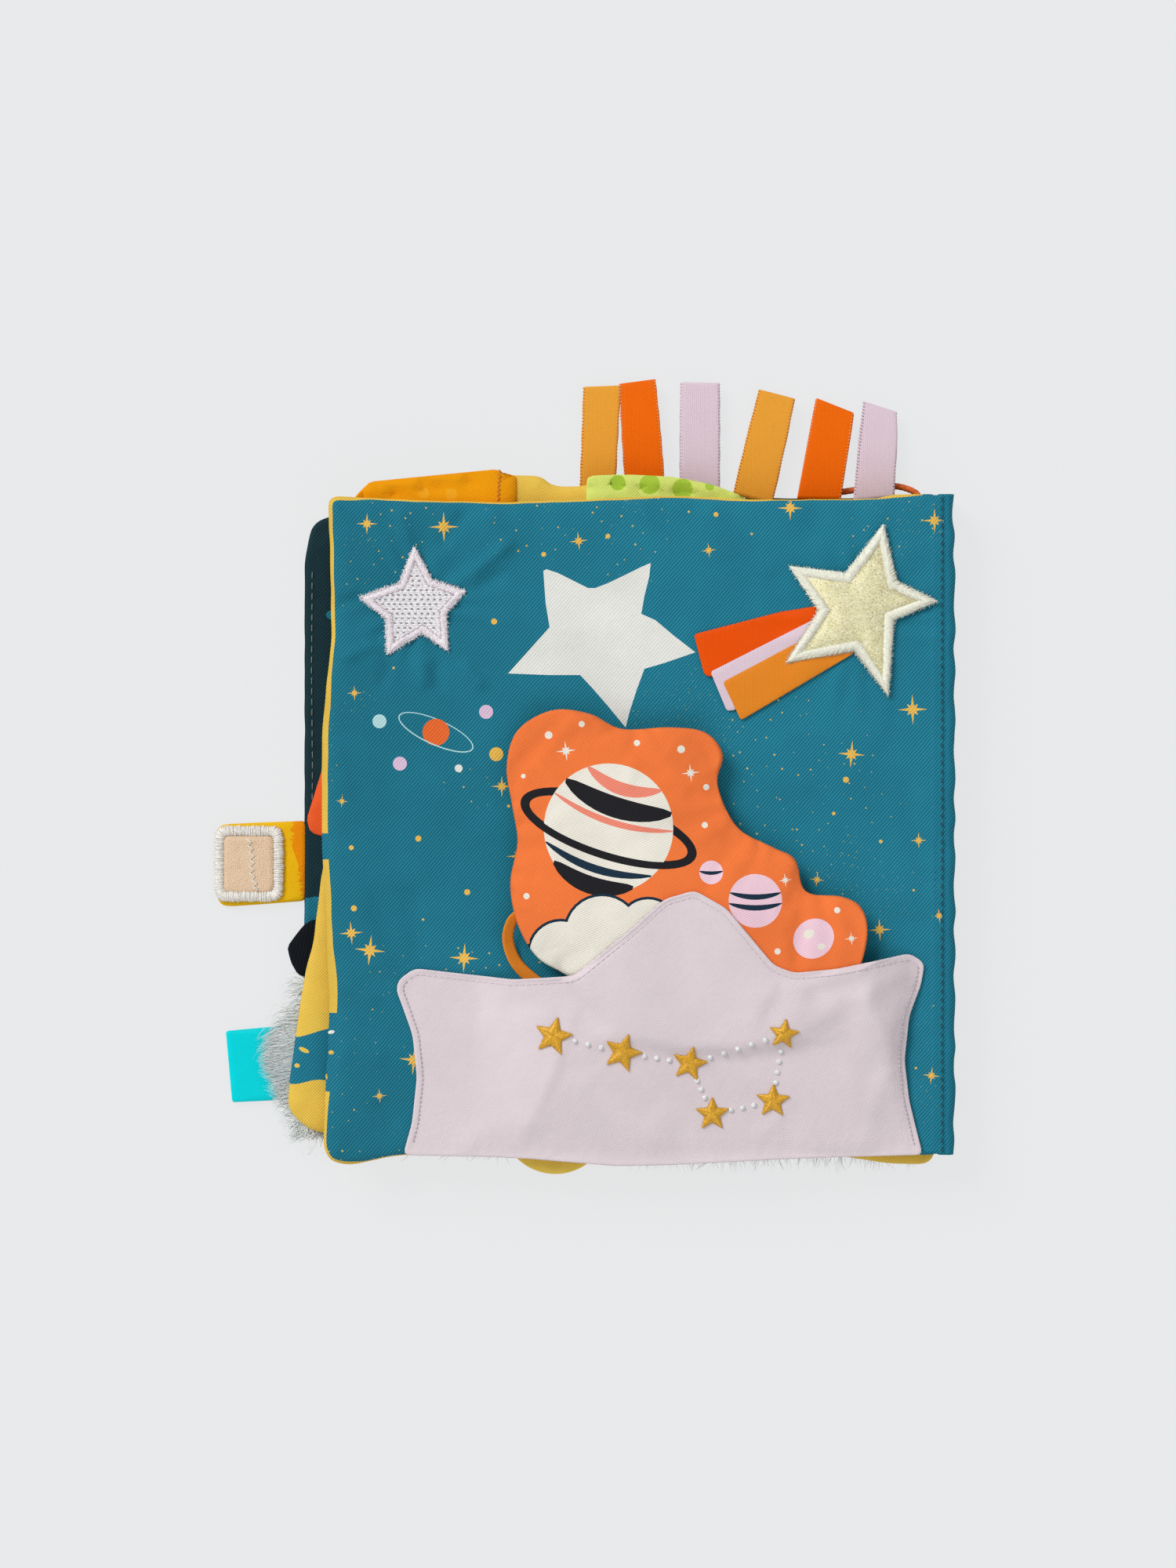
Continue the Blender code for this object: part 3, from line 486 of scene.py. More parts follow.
class Shader:
    """A node material, with short calls for the nodes that the cloths share."""

    def __init__(self, name, roughness=0.85, sheen=0.0, sheen_roughness=0.4, metallic=0.0, specular=0.3):
        self.material = bpy.data.materials.new(name)
        self.material.use_nodes = True
        self.nodes = self.material.node_tree.nodes
        self.links = self.material.node_tree.links
        self.shader = self.nodes["Principled BSDF"]
        for socket, value in (("Roughness", roughness), ("Sheen Weight", sheen), ("Metallic", metallic),
                              ("Sheen Roughness", sheen_roughness), ("Specular IOR Level", specular)):
            self.shader.inputs[socket].default_value = value
        self.place = self.nodes.new("ShaderNodeTexCoord").outputs["Object"]
        self.height = None

    def node(self, kind, links=None, **settings):
        made = self.nodes.new("ShaderNode" + kind)
        for key, value in settings.items():
            setattr(made, key, value)
        for socket, value in (links or {}).items():
            if hasattr(value, "is_output"):
                self.links.new(value, made.inputs[socket])
            else:
                made.inputs[socket].default_value = value
        return made

    def moved(self, turn, scale=(1, 1, 1)):
        return self.node("Mapping", {"Vector": self.place, "Rotation": (0, 0, turn), "Scale": scale}).outputs[0]

    def noise(self, size, detail=2, roughness=0.6, turn=0.0):
        links = {"Vector": self.moved(turn), "Scale": 1 / size, "Detail": detail, "Roughness": roughness}
        return self.node("TexNoise", links).outputs[0]

    def lines(self, period, turn, distortion, detail):
        """Parallel threads, with a whole period from one to the next."""
        scale = 2 * math.pi / (20 * period)
        links = {"Vector": self.moved(turn), "Scale": scale, "Distortion": distortion, "Detail": detail}
        return self.node("TexWave", links, wave_type="BANDS", bands_direction="X").outputs["Fac"]

    def cells(self, size, randomness):
        links = {"Vector": self.place, "Scale": 1 / size, "Randomness": randomness}
        return self.node("TexVoronoi", links, feature="F1").outputs["Distance"]

    def math(self, operation, a, b):
        return self.node("Math", {0: a, 1: b}, operation=operation).outputs[0]

    def ramp(self, value, *stops):
        made = self.node("ValToRGB", {"Fac": value})
        ramp = made.color_ramp
        ramp.interpolation = "LINEAR"
        while len(ramp.elements) < len(stops):
            ramp.elements.new(0.5)
        for element, (place, colour) in zip(ramp.elements, stops):
            element.position = place
            element.color = colour if len(colour) == 4 else linear(colour)
        return made.outputs["Color"]

    def mix(self, amount, a, b, blend="MIX"):
        made = self.node("Mix", {}, data_type="RGBA", blend_type=blend)
        for socket, value in ((0, amount), (6, a), (7, b)):
            if hasattr(value, "is_output"):
                self.links.new(value, made.inputs[socket])
            elif socket:
                made.inputs[socket].default_value = value if len(value) == 4 else linear(value)
            else:
                made.inputs[socket].default_value = value
        return made.outputs[2]

    def colour(self, value):
        self.links.new(value, self.shader.inputs["Base Color"])

    def roughness(self, value):
        self.links.new(value, self.shader.inputs["Roughness"])

    def relief(self, value, depth, strength=1.0):
        """One more layer of relief, in metres, on top of those given before."""
        links = {"Height": value, "Distance": depth, "Strength": strength}
        if self.height is not None:
            links["Normal"] = self.height
        self.height = self.node("Bump", links).outputs[0]
        self.links.new(self.height, self.shader.inputs["Normal"])


def shade(colour, amount):
    return tuple(min(max(value * amount, 0), 255) for value in colour)


def cotton(name, colour, contrast, period=0.00088, turn=0.72, patchy=0.05, print_and_painted_shade=None):
    """Printed cotton twill: a fine slanting weave, soft mottling and raised fibres."""
    made = Shader(name, roughness=0.88, sheen=0.03, sheen_roughness=0.5, specular=0.08)
    weave = made.lines(period, turn, 1.0, 1)
    crossing = made.lines(period * 0.62, turn + 1.25, 1.6, 1)
    weave = made.math("MULTIPLY", weave, made.math("ADD", made.math("MULTIPLY", crossing, 0.4), 0.6))
    base = made.ramp(weave, (0.0, shade(colour, 1 - contrast)), (0.9, shade(colour, 1 + contrast)))
    cloud = made.noise(0.022, 3)
    base = made.mix(made.ramp(cloud, (0.35, (0, 0, 0, 1)), (0.7, (1, 1, 1, 1))), base,
                    made.mix(1.0, base, shade((255, 255, 255), 1 - patchy), "MULTIPLY"))
    # an extra layer on the colour: on the sky cloth, its gold dust print and painted shade towards the left
    if print_and_painted_shade:
        base = print_and_painted_shade(made, base)
    made.colour(base)
    made.relief(weave, 0.0001, 0.7)
    made.relief(made.noise(0.0024, 3), 0.00026, 0.5)
    return made.material


def fine(name, colour, contrast, turn=0.72):
    """A closer cotton weave."""
    return cotton(name, colour, contrast, 0.0007, turn)


def satin(name, colour, contrast=0.07):
    """Satin ribbon: close fine threads that shine along the ribbon."""
    made = Shader(name, roughness=0.5, sheen=0.0, specular=0.08)
    lines = made.lines(0.00042, 0.0, 0.8, 1)
    ribs = made.lines(0.0006, math.pi / 2, 0.6, 1)
    both = made.math("MULTIPLY", lines, made.math("ADD", made.math("MULTIPLY", ribs, 0.5), 0.5))
    base = made.ramp(both, (0.0, shade(colour, 1 - contrast)), (1.0, shade(colour, 1 + contrast)))
    soft = made.noise(0.006, 2)
    made.colour(made.mix(made.math("MULTIPLY", soft, 0.25), base, shade(colour, 0.86)))
    made.roughness(made.math("ADD", made.math("MULTIPLY", soft, 0.2), 0.33))
    made.relief(both, 0.0001, 0.6)
    return made.material


def thread(name, colour, shine=0.5, contrast=0.12, metallic=0.0, size=0.0006):
    """Embroidery thread: bright filaments with a little colour change from stitch to stitch."""
    made = Shader(name, roughness=shine, sheen=0.2, specular=0.45, metallic=metallic)
    speck = made.noise(size, 3, 0.7)
    base = made.ramp(speck, (0.3, shade(colour, 1 - contrast)), (0.7, shade(colour, 1 + contrast * 0.6)))
    made.colour(base)
    made.relief(speck, 0.00008, 0.6)
    return made.material


def gold_dust_and_painted_shade(made, base):
    """Printed gold dust on a night sky: tiny dots in drifting clouds, and a few larger ones. Painted shade also darkens
    the cloth from its middle towards its left edge.
    """
    # painted shade: the colour is multiplied darker from the middle towards the left edge
    across = made.node("SeparateXYZ", {0: made.place}).outputs[0]
    across = made.math("ADD", made.math("MULTIPLY", across, 5.0), 0.5)
    base = made.mix(1.0, base, made.ramp(across, (0.05, (238, 238, 238)), (0.5, (255, 255, 255))), "MULTIPLY")
    for size, reach, turn, low, high, gold in ((0.0022, 0.075, 0.3, 0.56, 0.68, (150, 160, 104)),
                                               (0.0050, 0.058, 1.1, 0.50, 0.62, (212, 178, 96))):
        links = {"Vector": made.moved(turn), "Scale": 1 / size, "Randomness": 1.0}
        cell = made.node("TexVoronoi", links, feature="F1", voronoi_dimensions="2D")
        cloud = made.noise(0.040 if size < 0.004 else 0.050, 2, 0.55, turn)
        dense = made.ramp(cloud, (low, (0, 0, 0, 1)), (high, (1, 1, 1, 1)))
        luck = made.node("SeparateColor", {0: cell.outputs["Color"]}).outputs[0]
        limit = made.math("MULTIPLY", made.math("ADD", luck, 0.15), reach)
        dot = made.math("LESS_THAN", cell.outputs["Distance"], made.math("MULTIPLY", limit, dense))
        base = made.mix(dot, base, gold)
    return base


TEAL = (36, 124, 147)
GOLD = (240, 190, 88)
CLOTHS = {
    # the sky teal carries its gold dust print and painted shade towards its left side
    "teal": cotton("teal twill", TEAL, contrast=0.19, print_and_painted_shade=gold_dust_and_painted_shade),
    "plain_teal": cotton("plain teal twill", (33, 117, 140), contrast=0.18),
    "yellow": fine("yellow twill", (232, 193, 80), 0.09),
    "white_print": cotton("white print", (232, 233, 227), contrast=0.04),
    "gold_print": cotton("gold print", GOLD, contrast=0.09),
    "cyan_print": cotton("pale cyan print", (184, 224, 226), contrast=0.06),
    "lilac_print": cotton("lilac print", (222, 194, 220), contrast=0.06),
    "orange_print": cotton("orange print", (240, 110, 52), contrast=0.08),
    "dark": cotton("dark twill", (26, 52, 60), contrast=0.20),
    "lilac": cotton("lilac cotton", (226, 213, 218), contrast=0.05, period=0.00066, turn=0.85, patchy=0.03),
    "toy_orange": fine("orange cotton", (255, 125, 64), 0.07, turn=1.15),
    "cream_print": fine("cream print", (240, 235, 222), 0.05, turn=1.15),
    "navy_print": fine("navy print", (30, 52, 70), 0.12, turn=1.15),
    "black_print": fine("black print", (36, 36, 40), 0.12, turn=1.15),
    "pink_print": fine("pink print", (248, 208, 222), 0.05, turn=1.15),
    "coral_print": fine("coral print", (244, 140, 118), 0.06, turn=1.15),
    "amber": fine("amber cotton", (246, 158, 8), 0.07),
    "amber_print": fine("pale amber print", (249, 168, 30), 0.06),
    "lime": fine("lime cotton", (217, 231, 118), 0.06),
    "lime_print": fine("green print", (172, 206, 66), 0.06),
    "coral": fine("coral cotton", (244, 96, 46), 0.07),
    # painted light: a lighter copy of the yellow twill for the moon, making up for the shade it lies in under the front
    # leaf
    "moon_yellow_painted_lighter": fine("moon cotton painted lighter", (250, 208, 92), 0.07),
    "satin_tail_orange": satin("bright orange satin", (244, 84, 2)),
    "satin_tail_tan": satin("deep tan satin", (236, 140, 38)),
    "satin_strap": satin("golden orange satin", (250, 144, 44), contrast=0.10),
    "tab": fine("golden cotton", (250, 190, 20), 0.08),
    # the tab's golden cotton painted a deeper orange, as painted shade where the tab goes in under the leaves
    "tab_painted_shade": fine("golden cotton with painted shade", (250, 148, 10), 0.08),
    "felt": cotton("black felt", (18, 22, 28), contrast=0.25, period=0.0011, turn=0.2),
    "satin_tan": satin("tan satin", (245, 166, 56)),
    "satin_orange": satin("orange satin", (255, 108, 0)),
    "satin_lilac": satin("lilac satin", (229, 207, 219)),
    "picot_tan": thread("tan selvedge", (214, 132, 62), 0.6),
    "picot_orange": thread("orange selvedge", (255, 168, 104), 0.6),
    "picot_lilac": thread("lilac selvedge", (196, 174, 190), 0.6),
    "label": satin("cyan satin", (0, 220, 228), contrast=0.03),
    "white_thread": thread("white thread", (247, 244, 246), 0.55, 0.06),
    "lilac_thread": thread("lilac thread", (240, 231, 236), 0.5, 0.12),
    "dark_dash": thread("dark thread", (138, 132, 148), 0.7),
    "frame_thread": thread("warm white thread", (243, 236, 229), 0.55),
    "cream_thread": thread("cream thread", (243, 241, 222), 0.45),
    "gold_thread": thread("gold thread", (255, 170, 38), 0.26, 0.30, 0.15, 0.0004),
    "silver_thread": thread("silver thread", (226, 228, 230), 0.35, 0.16),
    "teal_thread": thread("dark teal thread", (18, 66, 82), 0.6),
    "dark_thread": thread("grey thread", (116, 128, 132), 0.6),
    "amber_thread": thread("brown orange thread", (206, 118, 22), 0.6),
    "lilac_sewing": thread("lilac sewing thread", (206, 194, 202), 0.6),
    "cord": thread("orange cord", (240, 106, 34), 0.6, 0.2, size=0.0009),
}


def lame():
    """Pale gold lame: fine glittering threads in slanting rows. Its grains differ in tone at random, and the brightest
    of them are painted glints.
    """
    made = Shader("gold lame", roughness=0.38, metallic=0.25, specular=0.5)
    rows = made.lines(0.00058, 0.9, 1.2, 2)
    glitter = made.node("TexVoronoi", {"Vector": made.moved(0.9, (1, 1.7, 1)), "Scale": 2300.0}, feature="F1")
    grains = made.node("SeparateColor", {0: glitter.outputs["Color"]}).outputs[0]
    # grains run from dark specks to near white; the near-white grains are painted glints
    base = made.ramp(grains, (0.02, (184, 174, 122)), (0.12, (214, 206, 156)), (0.7, (232, 225, 182)),
                     (0.95, (255, 252, 226)))
    made.colour(made.mix(made.math("MULTIPLY", rows, 0.22), base, (190, 180, 124)))
    made.roughness(made.math("ADD", made.math("MULTIPLY", grains, 0.3), 0.25))
    made.relief(rows, 0.00012, 0.6)
    made.relief(grains, 0.00012, 0.7)
    return made.material


def hooks():
    """Hook tape: rows of tiny stiff loops on a beige ground."""
    made = Shader("hook tape", roughness=0.6, specular=0.4)
    cell = made.cells(0.0006, 0.5)
    base = made.ramp(cell, (0.0, (236, 206, 172)), (0.5, (224, 192, 158)), (0.9, (196, 162, 128)))
    made.colour(made.mix(made.noise(0.004, 2), base, (232, 204, 174)))
    made.relief(cell, -0.0003, 0.8)
    return made.material


def plush():
    """Pale fluffy fur: its fine hairs scatter light, so they are shaded as one soft upward surface."""
    made = Shader("pale plush", roughness=1.0, specular=0.0)
    made.colour(made.ramp(made.noise(0.009, 3), (0.3, (236, 246, 246)), (0.7, (252, 255, 254))))
    own = made.node("NewGeometry").outputs["Normal"]
    small = made.node("VectorMath", {0: own, "Scale": 0.35}, operation="SCALE").outputs[0]
    both = made.node("VectorMath", {0: small, 1: (0, 0, 1)}, operation="ADD").outputs[0]
    made.links.new(made.node("VectorMath", {0: both}, operation="NORMALIZE").outputs[0], made.shader.inputs["Normal"])
    return made.material


CLOTHS["lame"] = lame()
CLOTHS["hooks"] = hooks()
CLOTHS["plush"] = plush()


# Leaves

FRONT_SHARES = (
    (-0.010, 0.012), (0.001, -0.007), (0.023, -0.013), (0.046, -0.012), (0.083, -0.004), (0.120, 0.002),
    (0.330, -0.001), (0.469, -0.012), (0.624, -0.008), (0.829, 0.001), (0.976, 0.001), (1.000, 0.001),
    (1.000, 0.022), (1.000, 0.986),
    (1.000, 1.007), (0.976, 1.006), (0.930, 1.002), (0.890, 0.999), (0.696, 0.998),
    (0.554, 1.004), (0.419, 0.998), (0.284, 0.994), (0.140, 0.997), (-0.004, 1.004), (0.001, 0.923),
    (0.003, 0.780), (-0.006, 0.708), (-0.013, 0.637), (-0.013, 0.470), (-0.006, 0.375),
    (-0.002, 0.265), (0.000, 0.220), (-0.004, 0.155), (-0.007, 0.100), (-0.010, 0.040),
)
MIDDLE_SHARES = (
    (0.026, 0.047), (0.220, 0.022), (0.800, 0.018), (0.859, 0.010), (0.883, 0.006),
    (0.920, 0.001), (0.985, -0.002), (1.000, 0.012), (1.000, 0.968), (0.975, 0.972),
    (0.930, 0.971), (0.905, 0.964), (0.714, 0.963), (0.620, 0.975), (0.471, 0.990),
    (0.453, 0.983), (0.404, 0.983), (0.386, 0.998), (0.325, 1.000), (0.100, 0.965),
    (0.066, 0.955), (0.066, 0.700), (0.052, 0.460), (0.041, 0.400), (0.032, 0.325),
    (0.019, 0.279), (0.012, 0.240), (0.003, 0.183), (-0.006, 0.118), (-0.010, 0.078),
)
BACK_SHARES = (
    (0.000, 0.080), (0.018, 0.034), (0.060, 0.010), (0.500, 0.000), (1.000, 0.000), (1.000, 1.000),
    (0.400, 1.000), (0.090, 0.990), (0.012, 0.962), (0.000, 0.900),
)
CORNER_RADIUS = 0.004
# a leaf's right edge ends here, where its cloth meets the spine
LEAF_LIMIT = 0.09705
FRONT_WIDTH, FRONT_HEIGHT = 0.194, 0.210
FRONT_LEFT, FRONT_BOTTOM = -0.097, -0.105
MIDDLE_WIDTH, MIDDLE_HEIGHT = 0.206, 0.221
MIDDLE_LEFT, MIDDLE_BOTTOM = -0.109, -0.108
BACK_WIDTH, BACK_HEIGHT = 0.203, 0.210
BACK_LEFT, BACK_BOTTOM = -0.106, -0.104
BACK_TOP = BACK_BOTTOM + BACK_HEIGHT


def leaf_cover(name, prefix, outline, body, materials, regions=(), spacing=0.0024, seam_inset=None,
               relief=None, rim_index=None, back_regions=(), reach=None):
    """A padded leaf's whole cover: face, rounded rim and backing, sewn round the edge.

    materials start with the face's and the backing's. rim_index gives the rim's material by place.
    """
    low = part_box(prefix + "_leaf_backing")[0].z
    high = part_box(prefix + "_leaf_face")[1].z
    outline = evenly(counter_clockwise(outline), 0.0014)
    outline = outline + normals_of(outline) * (0.00022 * bumps(outline, 0.007, 4))[:, None]
    outline[:, 0] = np.minimum(outline[:, 0], LEAF_LIMIT)
    seam_z = low + (high - low) * 0.60
    seam = inset(outline, seam_inset(outline) if seam_inset else 0.0003)
    places, faces, index = filled(seam, spacing, regions, (0.0005, 0.0013, 0.0027))
    depth, run = nearest_edge(places, seam)
    level = seam_z + (high - seam_z) * crown(depth, reach(places) if reach else 0.0060)
    if relief is not None:
        level = level + relief(places, depth, run)
    under_ring = inset(outline, 0.0013)
    under, under_faces, under_index = filled(under_ring, 0.006, back_regions, (0.002,))
    under_depth = nearest_edge(under, under_ring)[0]
    under_level = low + 0.00045 - 0.00035 * crown(under_depth, 0.006) + 0.0001 * bumps(under, 0.02, 9)
    count = len(seam)
    rims = [np.column_stack([outline, np.full(count, seam_z - 0.0003)]),
            np.column_stack([outline, np.full(count, low + 0.0011)])]
    vertices = np.vstack([np.column_stack([places, level]), *rims, np.column_stack([under, under_level])])
    top = len(places)
    walls = [rim_walls(count, top, 0), rim_walls(count, top + count, top),
             rim_walls(count, top + 2 * count, top + count)]
    all_faces = list(faces)
    marks = list(index)
    for wall in walls:
        all_faces += list(wall)
        marks += list(rim_index((outline + np.roll(outline, -1, axis=0)) / 2) if rim_index else np.full(count, 1))
    all_faces += list(under_faces[:, ::-1] + top + 2 * count)
    marks += list(np.where(under_index > 0, under_index, 1))
    nodes = [prefix + part for part in ("_leaf_face", "_leaf_backing", "_leaf_wadding", "_crinkle_film")]
    return add_piece(name, vertices, all_faces, materials, body, nodes, marks)


SPARKLE_REACH = (1, 0.27, 0.52, 0.27)


def sparkle(centre, radius, turn=0.0):
    """A twinkling star with four long and four short points."""
    points = []
    for k in range(16):
        reach = radius * SPARKLE_REACH[k % 4]
        angle = turn + k * math.pi / 8
        points.append((centre[0] + reach * math.cos(angle), centre[1] + reach * math.sin(angle)))
    return points


def dot(centre, radius, sides):
    return [(centre[0] + radius * math.cos(2 * math.pi * k / sides),
             centre[1] + radius * math.sin(2 * math.pi * k / sides)) for k in range(sides)]


def ellipse(centre, wide, high, turn, sides=40, start=0.0, end=2 * math.pi):
    points = []
    for k in range(sides):
        angle = start + (end - start) * k / (sides if end - start > 6.2 else sides - 1)
        u, v = wide * math.cos(angle), high * math.sin(angle)
        points.append((centre[0] + u * math.cos(turn) - v * math.sin(turn),
                       centre[1] + u * math.sin(turn) + v * math.cos(turn)))
    return points


def band_outline(centre, wide, high, turn, width, start, end, sides=16):
    """Part of an elliptic ring, as one closed outline."""
    outer = ellipse(centre, wide, high, turn, sides, start, end)
    inner = ellipse(centre, wide - width, high - width * 0.8, turn, sides, start, end)
    return outer + inner[::-1]


WHITE_STAR = all_at(
    (693, 728), (697, 726), (712, 731), (732, 741), (750, 750), (759, 750), (775, 744), (800, 732), (816, 724),
    (830, 718), (828, 736), (822, 760), (818, 783), (836, 791), (861, 812), (887, 832), (846, 846), (822, 853),
    (812, 880), (803, 908), (798, 928), (775, 900), (755, 877), (740, 861), (700, 861), (648, 859), (667, 838),
    (701, 800), (696, 770))
LILAC_STAR_SHARES = (
    (-0.042, 0.972), (0.278, 0.389), (0.875, 0.194), (0.528, -0.194), (0.556, -0.861),
    (0.111, -0.542), (-0.514, -0.931), (-0.542, -0.292), (-1.000, 0.083), (-0.292, 0.333),
)
GOLD_STAR_SHARES = (
    (0.286, 1.107), (0.438, 0.464), (0.895, 0.240), (0.402, 0.027), (0.339, -0.830),
    (-0.045, -0.321), (-0.813, -0.455), (-0.446, 0.134), (-0.777, 0.634), (-0.143, 0.554),
)
LILAC_STAR_RADIUS, GOLD_STAR_RADIUS = 0.018, 0.028
GOLD_STAR_BORDER = 0.0031


def on_front(shares):
    return (FRONT_LEFT + FRONT_WIDTH * shares[0], FRONT_BOTTOM + FRONT_HEIGHT * shares[1])


lilac_centre = on_front((0.143, 0.842))
gold_centre = on_front((0.869, 0.811))
lilac_star = around(LILAC_STAR_SHARES, lilac_centre, LILAC_STAR_RADIUS)
gold_star = around(GOLD_STAR_SHARES, gold_centre, GOLD_STAR_RADIUS)


def sky_print():
    """Twinkling stars and dots in their own layout, clear of the patches."""
    rng = random.Random(11)
    regions = []
    taken = [(lilac_centre, 0.021), (gold_centre, 0.034), (at(768, 820), 0.032), (at(545, 938), 0.024)]
    stars = [(468, 668, 17), (566, 672, 24), (738, 690, 15), (1008, 648, 20), (1192, 664, 20), (1164, 905, 24),
             (1086, 962, 22), (640, 1003, 17), (662, 1092, 20), (448, 1190, 19), (472, 1212, 25), (592, 1222, 24),
             (528, 1352, 24), (484, 1398, 12), (1122, 1186, 18), (1188, 1372, 14), (1198, 1168, 12),
             (904, 702, 12), (452, 884, 12), (1172, 1072, 13), (436, 1022, 10), (1042, 1122, 12)]
    for column, row, size in stars:
        place = at(column, row)
        regions.append((sparkle(place, metres(0.8 * size), rng.uniform(-0.12, 0.12)), 2))
        taken.append((place, metres(size) + 0.002))
    wanted = 64
    while wanted:
        place = (rng.uniform(-0.092, 0.093), rng.uniform(-0.100, 0.101))
        if all(math.dist(place, centre) > reach for centre, reach in taken):
            regions.append((dot(place, rng.choice((0.0004, 0.0005, 0.0006, 0.0008, 0.0010)), 8), 2))
            taken.append((place, 0.0035))
            wanted -= 1
    return regions


def planet_print():
    """A ringed planet with four small moons."""
    centre = at(556, 934)
    turn = math.radians(-24)
    regions = [(ellipse(centre, 0.0130, 0.0041, turn), 4), (ellipse(centre, 0.0126, 0.0038, turn), 0),
               (dot(centre, 0.0043, 24), 6),
               (band_outline(centre, 0.0130, 0.0041, turn, 0.0005, math.pi * 1.12, math.pi * 1.88), 4)]
    for column, row, size, index in ((484, 920, 9, 4), (510, 974, 9, 5), (620, 908, 9, 5), (633, 962, 9, 2),
                                     (585, 980, 5, 3)):
        regions.append((dot(at(column, row), metres(size), 16), index))
    return regions


def ridge(places, start, end, width, height):
    """A soft crease along a line, fading at both ends."""
    a, b = np.array(start), np.array(end)
    along = b - a
    length = np.linalg.norm(along)
    along = along / length
    part = places - a
    u = part @ along / length
    v = part @ np.array([-along[1], along[0]])
    fade = np.clip(u * 4, 0, 1) * np.clip((1 - u) * 4, 0, 1)
    fade = fade * fade * (3 - 2 * fade)
    return height * np.exp(-(v / width) ** 2) * fade


FRONT_CREASES = (
    ((594, 736), (662, 684), 0.0016, 0.0017), ((600, 756), (650, 726), 0.0018, -0.0012),
    ((584, 842), (622, 880), 0.0018, 0.0014), ((424, 776), (466, 757), 0.0014, -0.0014),
    ((432, 842), (486, 818), 0.0016, 0.0014), ((556, 838), (560, 884), 0.0015, -0.0013),
    ((536, 838), (540, 880), 0.0015, 0.0011), ((500, 840), (484, 880), 0.0016, -0.0011),
    ((522, 694), (506, 648), 0.0016, 0.0010), ((556, 704), (598, 646), 0.0018, -0.0011),
    ((450, 1120), (500, 1290), 0.0045, 0.0009), ((520, 1120), (540, 1240), 0.0040, -0.0007),
    ((470, 1236), (500, 1262), 0.0022, -0.0008), ((430, 1250), (486, 1282), 0.0026, 0.0008),
    ((480, 1400), (510, 1440), 0.0030, -0.0008), ((430, 1330), (500, 1350), 0.0040, 0.0006),
    ((980, 930), (1040, 1020), 0.0050, 0.0006), ((1150, 960), (1190, 1180), 0.0040, -0.0007),
    ((900, 640), (930, 720), 0.0050, 0.0007), ((1040, 640), (1030, 700), 0.0040, -0.0006),
    ((620, 640), (650, 730), 0.0034, 0.0008), ((985, 720), (1010, 790), 0.0034, -0.0007),
    ((1130, 890), (1110, 960), 0.0034, 0.0006), ((430, 900), (470, 1040), 0.0045, -0.0006),
)


def patch_rays(places, centre, many, sway, turns, edge, low, high, height):
    """Creases that run out from under a star patch, and each place's distance from its centre."""
    part = places - np.array(centre)
    reach = np.linalg.norm(part, axis=1)
    angle = np.arctan2(part[:, 1], part[:, 0])
    rays = np.sin(angle * many + sway * np.sin(angle * turns)) * np.exp(-np.maximum(reach - edge, 0) / 0.006)
    return height * rays * smooth_step(low, high, reach), reach


def add_creases(level, places, creases):
    """Soft creases, whose ends are given in pixels, added to the level at the places."""
    for start, end, width, height in creases:
        level += ridge(places, at(*start), at(*end), width, height)


def front_relief(places, depth, run):
    inner = smooth_step(0.0, 0.010, depth)
    lift = 0.00030 * bumps(places, 0.040, 1) * inner + 0.00014 * bumps(places, 0.013, 2) * inner
    wave = gathers(run, 0.0125, 0.05, 3)
    lift += 0.00030 * wave * np.exp(-depth / 0.0055) * smooth_step(0, 0.002, depth)
    lift += 0.00022 * bumps(np.column_stack([places[:, 0] * 0.35 + places[:, 1] * 0.1, places[:, 1]]), 0.011, 7) * inner
    rays, reach = patch_rays(places, lilac_centre, 13, 2, 3, 0.016, 0.006, 0.014, 0.00055)
    lift += rays
    lift -= 0.0006 * np.exp(-(np.maximum(reach - 0.010, 0) / 0.008) ** 2)
    lift += patch_rays(places, gold_centre, 15, 1.5, 4, 0.024, 0.010, 0.020, 0.00030)[0]
    add_creases(lift, places, FRONT_CREASES)
    return lift * smooth_step(0.0968, 0.0940, places[:, 0])


RIM_ROWS = (600, 860, 900, 1120, 1160, 1200, 1252, 1290, 1320, 1345, 1390, 1420, 1450, 1500)
RIM_WIDTHS = (1.2, 1.2, 1.9, 1.9, 1.7, 1.9, 2.8, 2.4, 1.9, 1.9, 1.4, 1.1, 0.8, 0.8)


def rows_of(places):
    return MIDDLE_ROW - places[:, 1] * PIXELS_PER_METRE


def front_rim(middles):
    """Yellow backing shows at the rim, with short stretches of its teal print."""
    row = rows_of(middles)
    marks = np.full(len(middles), 1)
    marks[((row > 1062) & (row < 1096)) | ((row > 1290) & (row < 1391))] = 7
    marks[middles[:, 0] > -0.085] = 1
    marks[middles[:, 0] > 0.092] = 7
    return marks


def front_seam(outline):
    """How far the front cloth's edge lies inside the leaf's rim."""
    left = smooth_step(-0.084, -0.091, outline[:, 0])
    wide = np.interp(rows_of(outline), RIM_ROWS, RIM_WIDTHS) / 1000 + 0.0003 * bumps(outline, 0.012, 6)
    top = smooth_step(0.098, 0.1025, outline[:, 1]) * smooth_step(0.050, 0.030, outline[:, 0])
    rows = 0.5 + 0.5 * bumps(outline, 0.02, 5)
    return 0.0003 + left * (wide - 0.0003) + (1 - left) * top * 0.0006 * rows


def front_reach(places):
    """The leaf's side is round at its free edges and upright beside the spine."""
    return 0.0055 - 0.0050 * smooth_step(0.088, 0.094, places[:, 0])


